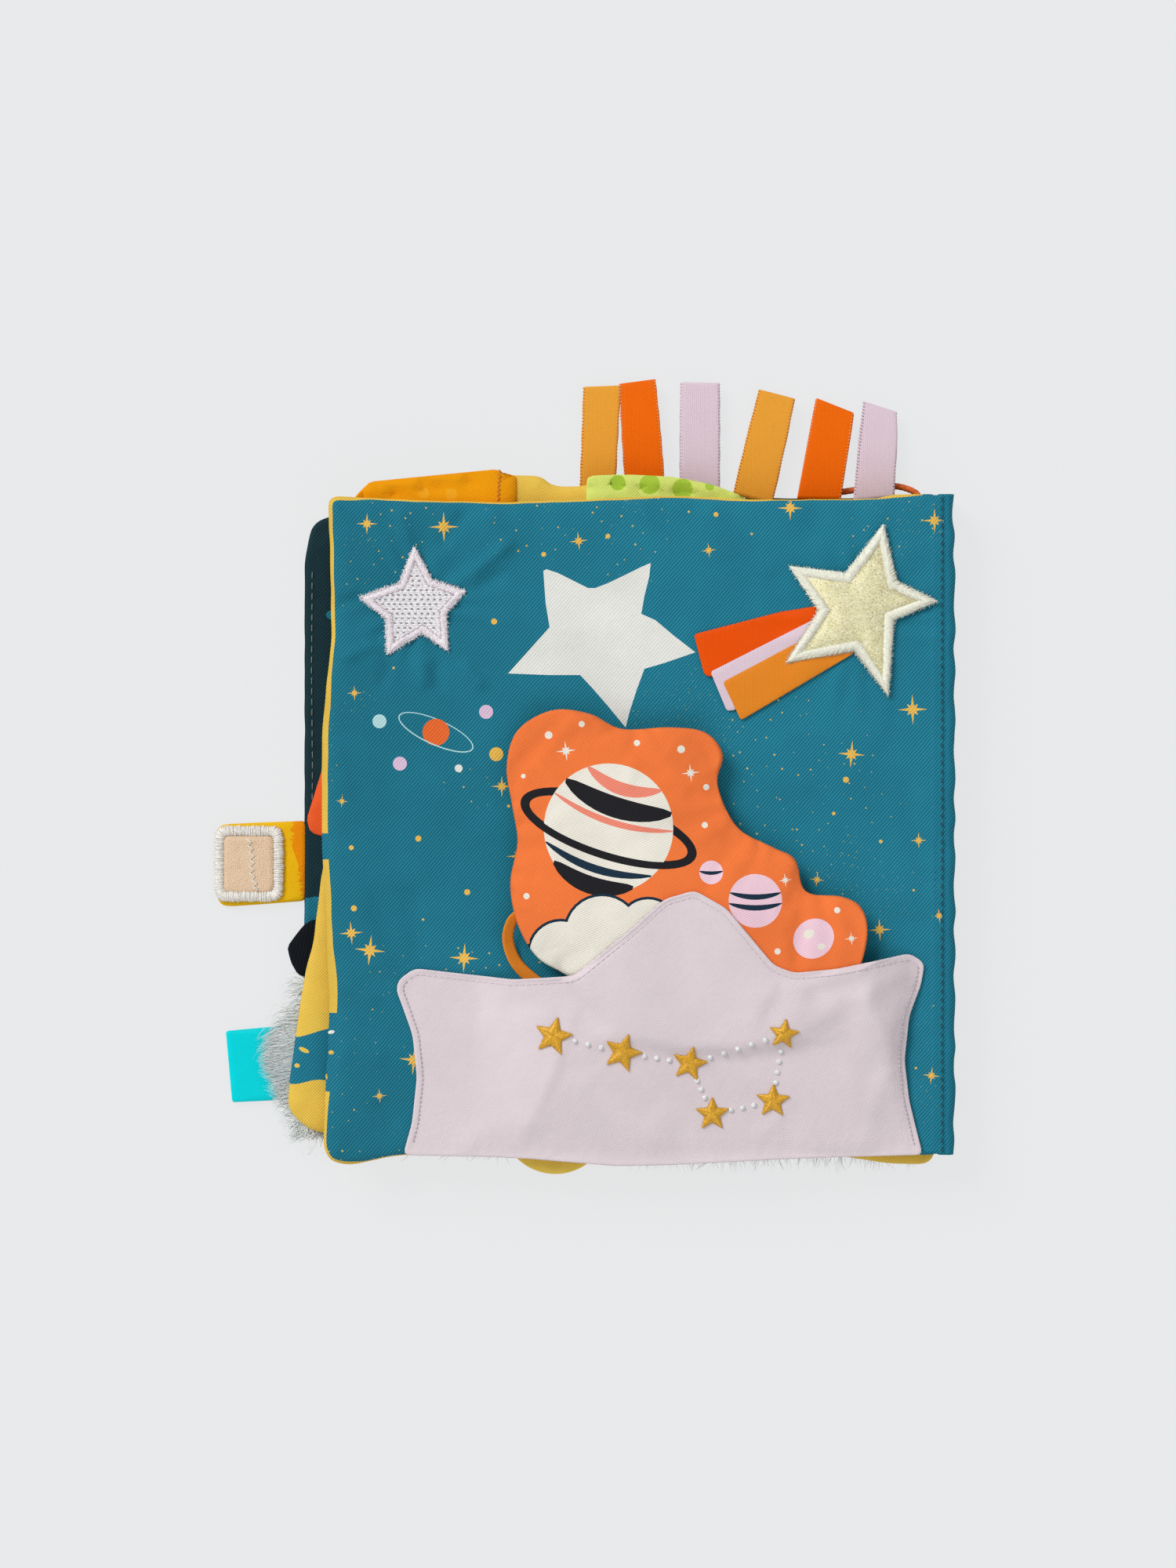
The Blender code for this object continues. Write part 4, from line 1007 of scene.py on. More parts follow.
front_outline = rounded(placed(FRONT_SHARES, FRONT_LEFT, FRONT_BOTTOM, FRONT_WIDTH, FRONT_HEIGHT), CORNER_RADIUS)
front_regions = sky_print() + planet_print() + [(WHITE_STAR, 3)]
FRONT_MATERIALS = [CLOTHS[k] for k in ("teal", "yellow", "gold_print", "white_print", "cyan_print",
                                       "lilac_print", "orange_print", "plain_teal")]
front_leaf = leaf_cover("front_leaf_cover", "front", front_outline, "front_leaf", FRONT_MATERIALS,
                        front_regions, 0.0017, front_seam, front_relief, front_rim, reach=front_reach)
front_ground = Ground(front_leaf)
FRONT_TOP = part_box("front_leaf_face")[1].z
for number, (column, row, wide, high, turn, cloth) in enumerate((
        (422, 1317, 0.0011, 0.0006, 0.2, "white_print"), (422, 1343, 0.0009, 0.0007, 0.0, "gold_print"),
        (416, 1374, 0.0003, 0.0010, 0.1, "gold_print"))):
    draped(f"rim_dash_{number + 1}", ellipse(at(column, row), wide, high, turn, 16), 0.0008, front_ground, 0.00002,
           0.00008, [CLOTHS[cloth]], "front_leaf", (), edge=0.0002, fallback=FRONT_TOP - 0.002)


def middle_relief(places, depth, run):
    inner = smooth_step(0.0, 0.010, depth)
    lift = 0.00022 * bumps(places, 0.040, 21) * inner
    wave = gathers(run, 0.0135, 0.05, 23)
    return lift + 0.00022 * wave * np.exp(-depth / 0.006) * smooth_step(0, 0.002, depth) - 0.0001


def wave_band(low_row, high_row, left, right, swing):
    """A wide band whose two edges are waves."""
    steps = 160
    columns = [left + (right - left) * k / steps for k in range(steps + 1)]
    upper = [at(x, low_row - swing * math.sin((x - 398) / 18)) for x in columns]
    lower = [at(x, high_row - swing * 0.5 * math.sin((x - 388) / 11)) for x in columns]
    return upper + lower[::-1]


middle_outline = rounded(
    placed(MIDDLE_SHARES, MIDDLE_LEFT, MIDDLE_BOTTOM, MIDDLE_WIDTH, MIDDLE_HEIGHT), CORNER_RADIUS)


def middle_rim(middles):
    """The rim carries the same wave as the face."""
    row = rows_of(middles)
    return np.where((row > 1324) & (row < 1383) & (middles[:, 0] < -0.08), 2, 1)


def middle_print():
    regions = [(wave_band(1319, 1382, 340, 1160, 6), 2)]
    rng = random.Random(5)
    regions.append((ellipse(at(386, 1341), 0.0018, 0.0007, math.radians(-24), 14), 1))
    regions.append((ellipse(at(377, 1361), 0.0009, 0.0007, 0, 12), 1))
    for k in range(3, 34):
        column = 387 + k * 22 + rng.uniform(-4, 4)
        row = 1341 + (0, 21, -9)[k % 3]
        regions.append((ellipse(at(column, row), 0.0019, 0.0006, math.radians(-18), 10), 1))
    for k in range(26):
        place = at(460 + (k * 211) % 640, 700 + (k * 137) % 560)
        regions.append((sparkle(place, 0.004 + 0.001 * (k % 3), 0.2 * k), 3))
    return regions


middle_leaf = leaf_cover("middle_leaf_cover", "middle", middle_outline, "middle_leaf",
                         [CLOTHS["yellow"], CLOTHS["yellow"], CLOTHS["plain_teal"], CLOTHS["white_print"]],
                         middle_print(), 0.0028, None, middle_relief, middle_rim)
middle_ground = Ground(middle_leaf)


def back_relief(places, depth, run):
    inner = smooth_step(0.0, 0.010, depth)
    lift = 0.00022 * bumps(places, 0.040, 31) * inner
    wave = gathers(run, 0.012, 0.05, 33)
    lift += 0.00025 * wave * np.exp(-depth / 0.006) * smooth_step(0, 0.002, depth)
    return lift - 0.0007 * np.exp(-((depth - 0.0026) / 0.0009) ** 2) - 0.0001


back_outline = rounded(placed(BACK_SHARES, BACK_LEFT, BACK_BOTTOM, BACK_WIDTH, BACK_HEIGHT), CORNER_RADIUS)


def back_rim(middles):
    row = rows_of(middles)
    return np.where((row > 1150) & (row < 1184) & (middles[:, 0] < -0.09), 1, 0)


def back_print():
    rng = random.Random(8)
    regions = [(ellipse(at(395, 1166), 0.0072, 0.0050, 0.3, 24), 1), (dot(at(418, 782), 0.0014, 12), 1)]
    for _ in range(60):
        place = (rng.uniform(-0.095, 0.09), rng.uniform(-0.04, 0.10))
        regions.append((dot(place, rng.uniform(0.0007, 0.0016), 9), rng.choice((1, 2))))
    return regions


def back_cover_print():
    rng = random.Random(9)
    return [(sparkle((rng.uniform(-0.095, 0.09), rng.uniform(-0.094, 0.098)), rng.uniform(0.002, 0.005)), 2)
            for _ in range(46)]


back_leaf = leaf_cover("back_leaf_cover", "back", back_outline, "back_leaf",
                       [CLOTHS["dark"], CLOTHS["plain_teal"], CLOTHS["gold_print"]],
                       back_print(), 0.0028, None, back_relief, back_rim, back_cover_print())
back_ground = Ground(back_leaf)


# Spine binding, with its cloth gathered by the stitching

SPINE_PROFILE = (
    # angle from +X in degrees, and how far inside the welt's round top the cloth lies there
    (0, 0.0), (20, 0.0), (40, 0.0), (60, 0.0), (78, 0.00002), (90, 0.0001), (98, 0.00035), (105, 0.00060),
    (112, 0.0003), (120, 0.0), (132, -0.00015), (146, -0.00020), (164, -0.0001), (180, 0.0),
)


def make_spine():
    low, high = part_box("spine_binding")
    radius = (high.x - low.x) / 2
    axis_x, axis_z = (low.x + high.x) / 2, high.z - radius
    steps = 260
    rows = []
    for k in range(steps + 1):
        y = low.y + (high.y - low.y) * k / steps
        pucker = 0.00034 * math.sin(y / 0.0150 * 2 * math.pi + 3 * noise.noise((y / 0.03, 0, 3)))
        pucker += 0.00022 * noise.noise((y / 0.005, 1, 5))
        slant = 0.0006 * smooth_step(0.080, high.y, y) + 0.0004 * smooth_step(-0.085, low.y, y)
        row = []
        for foot in (0.25, 0.6, 1.0):
            row.append((axis_x + radius - slant + pucker * foot * 0.8, y, low.z + axis_z * foot * 0.98))
        for turn, sink in SPINE_PROFILE[1:-1]:
            angle = math.radians(turn)
            swell = radius - sink * (1 + 0.5 * noise.noise((y / 0.004, 2, 7)))
            swell += (pucker - slant) * max(math.cos(angle), 0) + 0.00008 * noise.noise((y / 0.003, angle * 2, 1))
            row.append((axis_x + swell * math.cos(angle), y, axis_z + swell * math.sin(angle)))
        for foot in (1.0, 0.6, 0.25):
            row.append((axis_x - radius, y, low.z + axis_z * foot * 0.98))
        row.append((axis_x - radius * 0.8, y, low.z + 0.0001))
        row.append((axis_x + radius * 0.8, y, low.z + 0.0001))
        rows.append(row)
    rows = np.array(rows)
    sides = rows.shape[1]
    faces = [(b, a, d, c) for a, b, c, d in walls_along(steps + 1, sides)]
    faces += [cap[::-1] for cap in end_caps(steps + 1, sides)]
    return add_piece("spine_cover", rows.reshape(-1, 3), faces, [CLOTHS["plain_teal"]], "back_leaf",
                     ["spine_binding"])


spine = make_spine()
spine_ground = Ground(spine)
SPINE_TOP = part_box("spine_binding")[1].z
HINGE_LEFT, HINGE_RIGHT = 0.0942, 0.0989


def add_hinge_cloth():
    """The sky cloth runs on from the front leaf over the spine, to its row of stitches."""
    low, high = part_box("spine_binding")
    top, bottom = high.y - 0.0003, low.y + 0.0003
    outline = evenly([(HINGE_LEFT, bottom), (HINGE_RIGHT, bottom), (HINGE_RIGHT, top), (HINGE_LEFT, top)], 0.0010)
    ground = Ground(front_leaf, spine)

    def level(places, depth, run):
        y = places[:, 1]
        left = front_ground.height(np.column_stack([np.full(len(y), 0.0945), y]), FRONT_TOP)
        right = spine_ground.height(np.column_stack([np.full(len(y), HINGE_RIGHT), y]), SPINE_TOP)
        t = (places[:, 0] - HINGE_LEFT) / (HINGE_RIGHT - HINGE_LEFT)
        base = np.maximum(left + (right - left) * smooth_step(0, 1, t), ground.height(places, 0.0))
        return base - 0.00030 + 0.00036 * smooth_step(0, 0.35, t) - 0.00006 * smooth_step(0.8, 1.0, t)
    prints = [r for r in sky_print() if max(x for x, _ in r[0]) > HINGE_LEFT - 0.001]
    cloth = draped("hinge_cloth", outline, 0.0012, None, 0, 0.00018, FRONT_MATERIALS, "front_leaf", (),
                   edge=0.0003, regions=prints, shape=level)
    line = [(0.0984, y) for y in np.linspace(top - 0.0008, bottom + 0.0008, 40)]
    line = [(x + 0.00015 * noise.noise((y / 0.02, 0, 5)), y) for x, y in line]
    stitches("spine_stitches", line, Ground(cloth), CLOTHS["teal_thread"], "front_leaf", length=0.0014, gap=0.0013,
             radius=0.00018, fallback=SPINE_TOP)


add_hinge_cloth()
stitches("back_seam_stitches", [(-0.1034, 0.0820), (-0.1036, 0.0500), (-0.1033, 0.0200), (-0.1035, -0.002)],
         back_ground, CLOTHS["dark_thread"], "back_leaf", length=0.0020, gap=0.0014, radius=0.00018)


# Embroidered star patches and the folded ribbon tails

def fuzz(name, outline, ground, fallback, lift, material, rng, reach=0.0008, spacing=0.0003):
    """Loose thread ends that stand out from an embroidered edge."""
    outline = evenly(counter_clockwise(outline), spacing)
    outward = -normals_of(outline)
    routes = []
    for place, way in zip(outline, outward):
        turn = rng.gauss(0, 0.7)
        way = np.array([way[0] * math.cos(turn) - way[1] * math.sin(turn),
                        way[0] * math.sin(turn) + way[1] * math.cos(turn)])
        far = rng.uniform(0.2, 1.0) * reach
        routes.append([place - way * 0.0004, place + way * far * 0.5, place + way * far])
    routes = np.array(routes)
    level = ground.height(routes[:, 0], fallback)[:, None] + np.array([0.0002, 0.0003, 0.0001]) + lift
    threads(name, np.dstack([routes, level]), 0.00008, material, "front_leaf", (), sides=3)


def add_lilac_star():
    rng = random.Random(21)
    outer = counter_clockwise(lilac_star)
    inner = inset(outer, 0.0021)
    bed = draped("lilac_star_bed", outer, 0.0018, front_ground, 0.0002, 0.0006, [CLOTHS["lilac_thread"]],
                 "front_leaf", ["lilac_star_patch"], fallback=FRONT_TOP)
    ground = Ground(bed)
    top = FRONT_TOP + 0.0008
    routes = border_threads(outer, inner, ground, top, -0.0001, 0.00055, rng, 0.0005)
    threads("lilac_star_border", routes, 0.00020, CLOTHS["lilac_thread"], "front_leaf", ())
    fuzz("lilac_star_fuzz", outer, ground, top, -0.0002, CLOTHS["white_thread"], rng, 0.0011, 0.00022)
    stitches("lilac_star_line", np.vstack([inner, inner[:1]]), ground, CLOTHS["lilac_sewing"], "front_leaf",
             length=0.0016, gap=0.0002, radius=0.00024, fallback=top, lift=0.00025)
    low, high = inner.min(axis=0), inner.max(axis=0)
    rows, dashes = [], []
    y, count = low[1] + 0.0003, 0
    while y < high[1]:
        cuts = []
        for (x0, y0), (x1, y1) in zip(inner, np.roll(inner, -1, axis=0)):
            if (y0 > y) != (y1 > y):
                cuts.append(x0 + (y - y0) * (x1 - x0) / (y1 - y0))
        cuts.sort()
        for start, end in zip(cuts[::2], cuts[1::2]):
            x = start - rng.uniform(0, 0.0019)
            while x < end:
                reach = rng.uniform(0.0017, 0.0021)
                a, b = max(x, start), min(x + reach, end)
                if b - a > 0.0005:
                    tilt = rng.uniform(-0.00012, 0.00012)
                    rows.append([(a + (b - a) * t, y + tilt * (t - 0.5)) for t in (0, 0.15, 0.5, 0.85, 1)])
                    if count % 3 == 0 and b - a > 0.0014 and start + 0.0004 < a:
                        dashes.append([(a + 0.0009 * (t - 0.5), y) for t in (0, 0.3, 0.7, 1)])
                x += reach
        y += 0.00050
        count += 1
    rows, dashes = np.array(rows), np.array(dashes)
    level = ground.under(rows, top)
    rise = np.array([-0.00012, 0.0001, 0.00018, 0.0001, -0.00012])
    threads("lilac_star_filling", np.dstack([rows, level + rise]), 0.00026, CLOTHS["white_thread"],
            "front_leaf", ())
    level = ground.under(dashes, top) + 0.00030
    threads("lilac_star_dashes", np.dstack([dashes, level]), 0.00016, CLOTHS["dark_dash"], "front_leaf", (),
            sides=4)


def add_gold_star():
    rng = random.Random(22)
    outer = counter_clockwise(gold_star)
    inner = inset(outer, GOLD_STAR_BORDER)
    draped("gold_star_lame", inset(inner, -0.0004), 0.0018, front_ground, 0.0012, 0.0006, [CLOTHS["lame"]],
           "front_leaf", ["gold_star_patch"], fallback=FRONT_TOP,
           shape=lambda places, depth, run: 0.0008 * crown(depth, 0.010) + 0.00012 * bumps(places, 0.004, 6))
    bed = draped("gold_star_bed", inset(outer, 0.0003), 0.0018, front_ground, 0.0010, 0.0005,
                 [CLOTHS["cream_thread"]], "front_leaf", ["gold_star_border"],
                 fallback=FRONT_TOP)
    ground = Ground(bed)
    routes = border_threads(outer, inner, ground, FRONT_TOP + 0.0015, -0.0001, 0.0010, rng, 0.0004)
    threads("gold_star_stitches", routes, 0.00022, CLOTHS["cream_thread"], "front_leaf", ())
    fuzz("gold_star_fuzz", outer, ground, FRONT_TOP + 0.0015, -0.0003, CLOTHS["cream_thread"], rng,
         0.0010, 0.00024)


TAILS = {
    "orange": (((885, 809), (997, 780), (1042, 773), (1050, 792), (1040, 806), (906, 864), (898, 860)), 0.0002,
               "satin_tail_orange"),
    "lilac": (((906, 857), (1042, 788), (1044, 806), (937, 906), (927, 907)), 0.00048, "satin_lilac"),
    "tan": (((922, 870), (1020, 818), (1060, 800), (1100, 815), (1088, 834), (945, 919)), 0.00076, "satin_tail_tan"),
}


def add_tails():
    """Three folded ends of satin ribbon that stream from under the gold star."""
    free = np.array(at(900, 860))

    def lift(places, depth, run):
        reach = np.linalg.norm(places - free, axis=1)
        return 0.0007 * np.exp(-(reach / 0.012) ** 2) + 0.0001 * bumps(places, 0.006, 8)
    for colour, (pixels, offset, cloth) in TAILS.items():
        outline = evenly(rounded(all_at(*pixels), 0.0006, 2), 0.0010)
        name = "star_tail_" + colour
        draped(name, outline, 0.0014, front_ground, offset, 0.00024, [CLOTHS[cloth]], "front_leaf", [name],
               fallback=FRONT_TOP, edge=0.0003, shape=lift)


add_lilac_star()
add_gold_star()
add_tails()


PICOT_PERIOD = 0.0013
SELVEDGE = 0.00055


def strip(name, path, ways, width, thickness, materials, body, replaced, across=8, picot=0.0):
    """A flat ribbon along a path, lying the ways given. Its selvedges are of the second material."""
    path, ways = np.asarray(path, dtype=float), np.asarray(ways, dtype=float)
    width = np.broadcast_to(width, len(path))
    along = np.gradient(path, axis=0)
    along /= np.linalg.norm(along, axis=1)[:, None]
    ways = ways / np.linalg.norm(ways, axis=1)[:, None]
    lift = np.cross(ways, along)
    lift /= np.linalg.norm(lift, axis=1)[:, None]
    run = np.concatenate([[0], np.cumsum(np.linalg.norm(np.diff(path, axis=0), axis=1))])
    scallop = 1 + picot * np.sin(run / PICOT_PERIOD * 2 * math.pi) / (width / 2)
    edge = SELVEDGE / (width[0] / 2)
    shares = np.concatenate([[-1, -1 + edge], np.linspace(-1 + edge, 1 - edge, across + 1)[1:-1], [1 - edge, 1]])
    half = len(shares)
    profile = np.where(np.abs(shares) > 0.999, 0.35, 1.0) * thickness / 2
    rings = []
    for k in range(len(path)):
        reach = shares * width[k] / 2
        reach[0] *= scallop[k]
        reach[-1] *= scallop[k]
        upper = path[k] + np.outer(reach, ways[k]) + np.outer(profile, lift[k])
        lower = path[k] + np.outer(reach, ways[k]) - np.outer(profile, lift[k])
        rings.append(np.vstack([upper, lower[::-1]]))
    sides = 2 * half
    selvedges = (0, half - 2, half - 1, half, sides - 2, sides - 1)
    faces = walls_along(len(path), sides) + end_caps(len(path), sides)
    marks = [int(i in selvedges) for i in range(sides)] * (len(path) - 1) + [0, 0]
    return add_piece(name, np.concatenate(rings), faces, materials, body, replaced, marks)


# Cloth simulation

def settled(places, faces, held, frames, shrink=0.0, pressure=0.0, gravity=0.0, over=()):
    """Where cloth comes to rest, from a short simulation made at ten times the size."""
    size = 10

    def trial(name, points, corners):
        mesh = bpy.data.meshes.new(name)
        mesh.from_pydata([tuple(float(v) * size for v in p) for p in points], [],
                         [tuple(int(i) for i in f) for f in corners])
        piece = bpy.data.objects.new(name, mesh)
        bpy.context.collection.objects.link(piece)
        return piece
    cloth = trial("trial_cloth", places, faces)
    cloth.vertex_groups.new(name="held").add([int(i) for i in held], 1.0, "REPLACE")
    blocks = []
    for points, corners in over:
        block = trial("trial_block", points, corners)
        block.modifiers.new("Collision", "COLLISION")
        block.collision.thickness_outer = 0.002
        block.collision.thickness_inner = 0.05
        block.collision.cloth_friction = 12
        blocks.append(block)
    made = cloth.modifiers.new("Cloth", "CLOTH")
    rules = made.settings
    rules.quality = 6
    rules.mass = 0.3
    rules.tension_stiffness = 15
    rules.compression_stiffness = 15
    rules.shear_stiffness = 5
    rules.bending_stiffness = 0.5
    rules.vertex_group_mass = "held"
    rules.shrink_min = shrink
    rules.use_pressure = pressure > 0
    rules.uniform_pressure_force = pressure
    rules.effector_weights.gravity = gravity
    made.collision_settings.use_collision = bool(blocks)
    made.collision_settings.distance_min = 0.004
    made.collision_settings.collision_quality = 3
    for step in range(1, frames + 1):
        bpy.context.scene.frame_set(step)
    shaped = cloth.evaluated_get(bpy.context.evaluated_depsgraph_get())
    rest = np.array([tuple(v.co) for v in shaped.data.vertices]) / size
    for piece in [cloth] + blocks:
        bpy.data.objects.remove(piece)
    bpy.context.scene.frame_set(1)
    return rest


# Padded toy

TOY_SHARES = (
    (0.180, 0.205), (0.290, 0.080), (0.400, 0.025), (0.560, 0.000), (0.740, 0.020),
    (0.890, 0.105), (0.965, 0.200), (1.000, 0.330), (0.985, 0.415), (0.930, 0.450),
    (0.830, 0.465), (0.800, 0.560), (0.740, 0.595), (0.640, 0.655), (0.585, 0.780),
    (0.600, 0.870), (0.550, 0.935), (0.450, 0.950), (0.320, 0.945), (0.230, 0.990),
    (0.125, 1.000), (0.030, 0.940), (0.000, 0.835), (0.015, 0.720), (0.030, 0.610),
    (0.010, 0.490), (0.030, 0.370), (0.085, 0.270),
)
TOY_WIDTH, TOY_HEIGHT = 0.1145, 0.1075
# extra edges at these distances inside the seam, where the pillow's side is round
TOY_RINGS = (0.0004, 0.0009, 0.0016)
toy_low, toy_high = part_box("toy_front")
toy_left, toy_bottom = toy_low.x, toy_low.y
toy_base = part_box("toy_back")[0].z
toy_half = (toy_high.z - toy_base) / 2
toy_seam = toy_base + toy_half
toy_outline = np.array(counter_clockwise(through(
    placed(TOY_SHARES, toy_left, toy_bottom, TOY_WIDTH, TOY_HEIGHT), 6)))


def toy_print():
    """A banded, ringed planet over a cloud, with small pink planets and a few sparkles."""
    def disc(column, row, radius, index, tall=1.0, turn=0.0, sides=32):
        return (ellipse(at(column, row), metres(radius), metres(radius * tall), math.radians(turn), sides), index)

    def belt(column, row, radius, lift, thick, index=2, turn=0.0):
        """A curved band across a planet, at a share of its radius above the middle."""
        upper, lower = [], []
        c, s = math.cos(math.radians(turn)), math.sin(math.radians(turn))

        def spot(x, y):
            return at(column + x * c + y * s, row - x * s + y * c)
        for k in range(13):
            t = -1 + k / 6
            wide = radius * math.sqrt(1 - lift ** 2) * 0.99
            level = radius * 0.16 * (1 - t * t) - radius * lift
            half = thick * math.sqrt(1.05 - t * t)
            upper.append(spot(wide * t, level - half))
            lower.append(spot(wide * t, level + half))
        return (upper + lower[::-1], index)
    middle, tilt = at(776, 1056), math.radians(-18)
    moon = [(ellipse(middle, 0.0292, 0.0098, tilt, 60), 3), (ellipse(middle, 0.0262, 0.0068, tilt, 60), 0),
            disc(776, 1056, 82, 1, 1, 0, 60),
            *(belt(776, 1056, 82, lift, thick, index, -18) for lift, thick, index in
              ((0.80, 8, 6), (0.50, 13, 3), (0.26, 4, 6), (-0.50, 5, 2), (-0.76, 11, 3))),
            (band_outline(middle, 0.0292, 0.0098, tilt, 0.0030, math.pi * 1.04, math.pi * 1.96, 30), 3)]
    puffs = ((716, 1214, 40), (768, 1188, 46), (826, 1182, 36), (884, 1218, 40), (944, 1266, 44), (1010, 1336, 62))
    cloud = [disc(column, row, radius + 3.5, 2) for column, row, radius in puffs]
    cloud += [disc(column, row, radius, 1) for column, row, radius in puffs]
    cloud.append((all_at((690, 1214), (768, 1188), (826, 1182), (884, 1218), (944, 1266), (1010, 1336), (1010, 1440),
                         (690, 1440)), 1))
    planets = [disc(962, 1148, 34, 4), belt(962, 1148, 34, 0.30, 3.4), belt(962, 1148, 34, -0.10, 3.4),
               disc(1036, 1196, 27, 4, 0.9, 40), disc(1030, 1190, 7, 1, 0.8, 20), disc(1046, 1206, 5, 1, 0.8, 20),
               disc(906, 1112, 15, 4), belt(906, 1112, 15, 0.1, 2.2)]
    specks = [disc(column, row, radius, 1, 1, 0, 12) for column, row, radius in
              ((700, 938, 5), (742, 924, 4), (812, 948, 4), (868, 956, 5), (900, 1004, 4), (672, 1142, 4),
               (898, 1052, 4), (1066, 1160, 4), (990, 1212, 4), (934, 1206, 5), (668, 990, 3))]
    stars = [(sparkle(at(column, row), metres(radius), 0.1), 1) for column, row, radius in
             ((722, 958, 13), (880, 986, 12), (1000, 1122, 9), (1084, 1196, 9))]
    return moon + cloud + planets + specks + stars


def toy_shapes():
    """Both sides of the pillow after its two sheets are sewn at the seam and filled under pressure."""
    outline = evenly(toy_outline, 0.0026)
    flat, sides, _ = filled(outline, 0.0026, (), (0.0013,))
    depth = nearest_edge(flat, outline)[0]
    count = len(outline)
    up = np.column_stack([flat, 0.0012 * crown(depth, 0.01)])
    down = np.column_stack([flat[count:], -0.0012 * crown(depth[count:], 0.01)])
    under = np.where(sides < count, sides, sides + len(flat) - count)[:, ::-1]
    rest = settled(np.vstack([up, down]), np.vstack([sides, under]), range(count), 20, shrink=-0.07, pressure=4.0)
    top, low = rest[:len(flat)], np.vstack([rest[:count], rest[len(flat):]])
    low[:, 2] *= -1
    shapes = []
    for side in (top, low):
        full = np.percentile(side[:, 2], 97)
        side[:, 2] = toy_half * np.clip(side[:, 2] / full, 0, 1.02) ** 0.55
        shapes.append(Ground(sheet=(side, sides)))
    return shapes


def make_toy():
    outline = evenly(toy_outline, 0.0014)
    places, faces, index = filled(outline, 0.0014, toy_print(), TOY_RINGS)
    depth, run = nearest_edge(places, outline)
    back, back_faces, _ = filled(outline, 0.0022, (), TOY_RINGS)
    back_depth, back_run = nearest_edge(back, outline)
    upper, lower = toy_shapes()
    edge = toy_half * crown(depth, 0.0030)
    rise = np.minimum(upper.height(places, 0), np.maximum(edge, 0.0004))
    back_rise = np.minimum(lower.height(back, 0), toy_half * crown(back_depth, 0.0030))
    add_creases(rise, places, TOY_CREASES)
    rise = np.clip(rise, 0, toy_half * 1.03)
    back_rise = np.minimum(back_rise, toy_half * 0.97)
    count = len(outline)
    rise[:count] = 0
    vertices = np.vstack([np.column_stack([places, toy_seam + rise]),
                          np.column_stack([back[count:], toy_seam - back_rise[count:]])])
    shift = len(places) - count
    lower = np.where(back_faces < count, back_faces, back_faces + shift)[:, ::-1]
    marks = list(index) + [0] * len(lower)
    materials = [CLOTHS[k] for k in ("toy_orange", "cream_print", "navy_print", "black_print", "pink_print",
                                     "cyan_print", "coral_print")]
    return add_piece("toy_cushion", vertices, list(faces) + list(lower), materials, "toy",
                     ["toy_front", "toy_back", "toy_filling"], marks)


TOY_CREASES = (
    ((796, 938), (850, 1000), 0.0030, -0.0006), ((812, 962), (796, 1010), 0.0022, 0.0005),
    ((920, 1034), (870, 1010), 0.0030, -0.0006), ((916, 1050), (880, 1080), 0.0022, 0.0004),
    ((1020, 1148), (985, 1160), 0.0030, -0.0006), ((655, 1110), (690, 1120), 0.0030, -0.0005),
    ((1028, 1150), (1010, 1240), 0.0026, -0.0005), ((664, 1230), (700, 1240), 0.0030, -0.0004),
)
toy = make_toy()


TETHER_ROUTE = ((666, 1164), (654, 1173), (648, 1194), (653, 1217), (665, 1236), (686, 1254), (716, 1278))


def add_tether():
    """The satin strap that ties the toy to the leaf, from the toy's seam down under the pocket."""
    flat = np.array(through(all_at(*TETHER_ROUTE), 8, False))
    t = np.linspace(0, 1, len(flat))
    z = toy_seam + (FRONT_TOP + 0.0008 - toy_seam) * smooth_step(0, 0.72, t)
    path = np.column_stack([flat, z])
    along = np.gradient(path, axis=0)
    sides = np.column_stack([along[:, 1], -along[:, 0], np.linalg.norm(along, axis=1) * (0.9 - 1.1 * t)])
    band = strip("tether_strap", path, sides, 0.0040, 0.0005, [CLOTHS["satin_strap"], CLOTHS["satin_strap"]],
                 None, ["tether_ribbon"], across=6)
    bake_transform(band)
    return band


# Pocket: the upper half of a big star, sewn to the leaf at its sides and bottom

POCKET_SHARES = (
    (0.012, -0.002), (0.177, -0.009), (0.252, -0.016), (0.412, -0.043), (0.510, -0.040), (0.590, -0.032),
    (0.733, -0.017), (0.826, -0.010), (0.995, -0.001), (0.969, 0.207), (0.960, 0.358), (0.969, 0.524),
    (0.991, 0.636), (0.999, 0.722),
    (0.970, 0.760), (0.825, 0.704), (0.749, 0.690), (0.711, 0.719), (0.622, 0.932),
    (0.562, 1.000), (0.505, 0.967), (0.436, 0.843), (0.334, 0.678), (0.220, 0.663),
    (0.144, 0.678), (0.034, 0.703), (0.004, 0.661), (-0.001, 0.621), (0.008, 0.575),
    (0.030, 0.451), (0.038, 0.291), (0.029, 0.121),
)
POCKET_CORNER = 0.0020
POCKET_WIDTH, POCKET_HEIGHT = 0.1685, 0.0845
pocket_left, pocket_bottom = on_front((0.111, 0.003))
pocket_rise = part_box("pocket_panel")[1].z - FRONT_TOP - 0.0007


def pocket_cavity(places):
    x, y = places[:, 0], places[:, 1]
    toy_right = toy_left + TOY_WIDTH
    open_left = smooth_step(pocket_left + POCKET_WIDTH / 8, toy_left + TOY_WIDTH / 8, x)
    open_right = 1 - smooth_step(toy_right - 0.0012, pocket_left + POCKET_WIDTH, x)
    climb = np.clip((y - pocket_bottom) / (toy_bottom + TOY_HEIGHT / 6 - pocket_bottom), 0, 1)
    return pocket_rise * open_left * open_right * (1 - (1 - climb) ** 2)


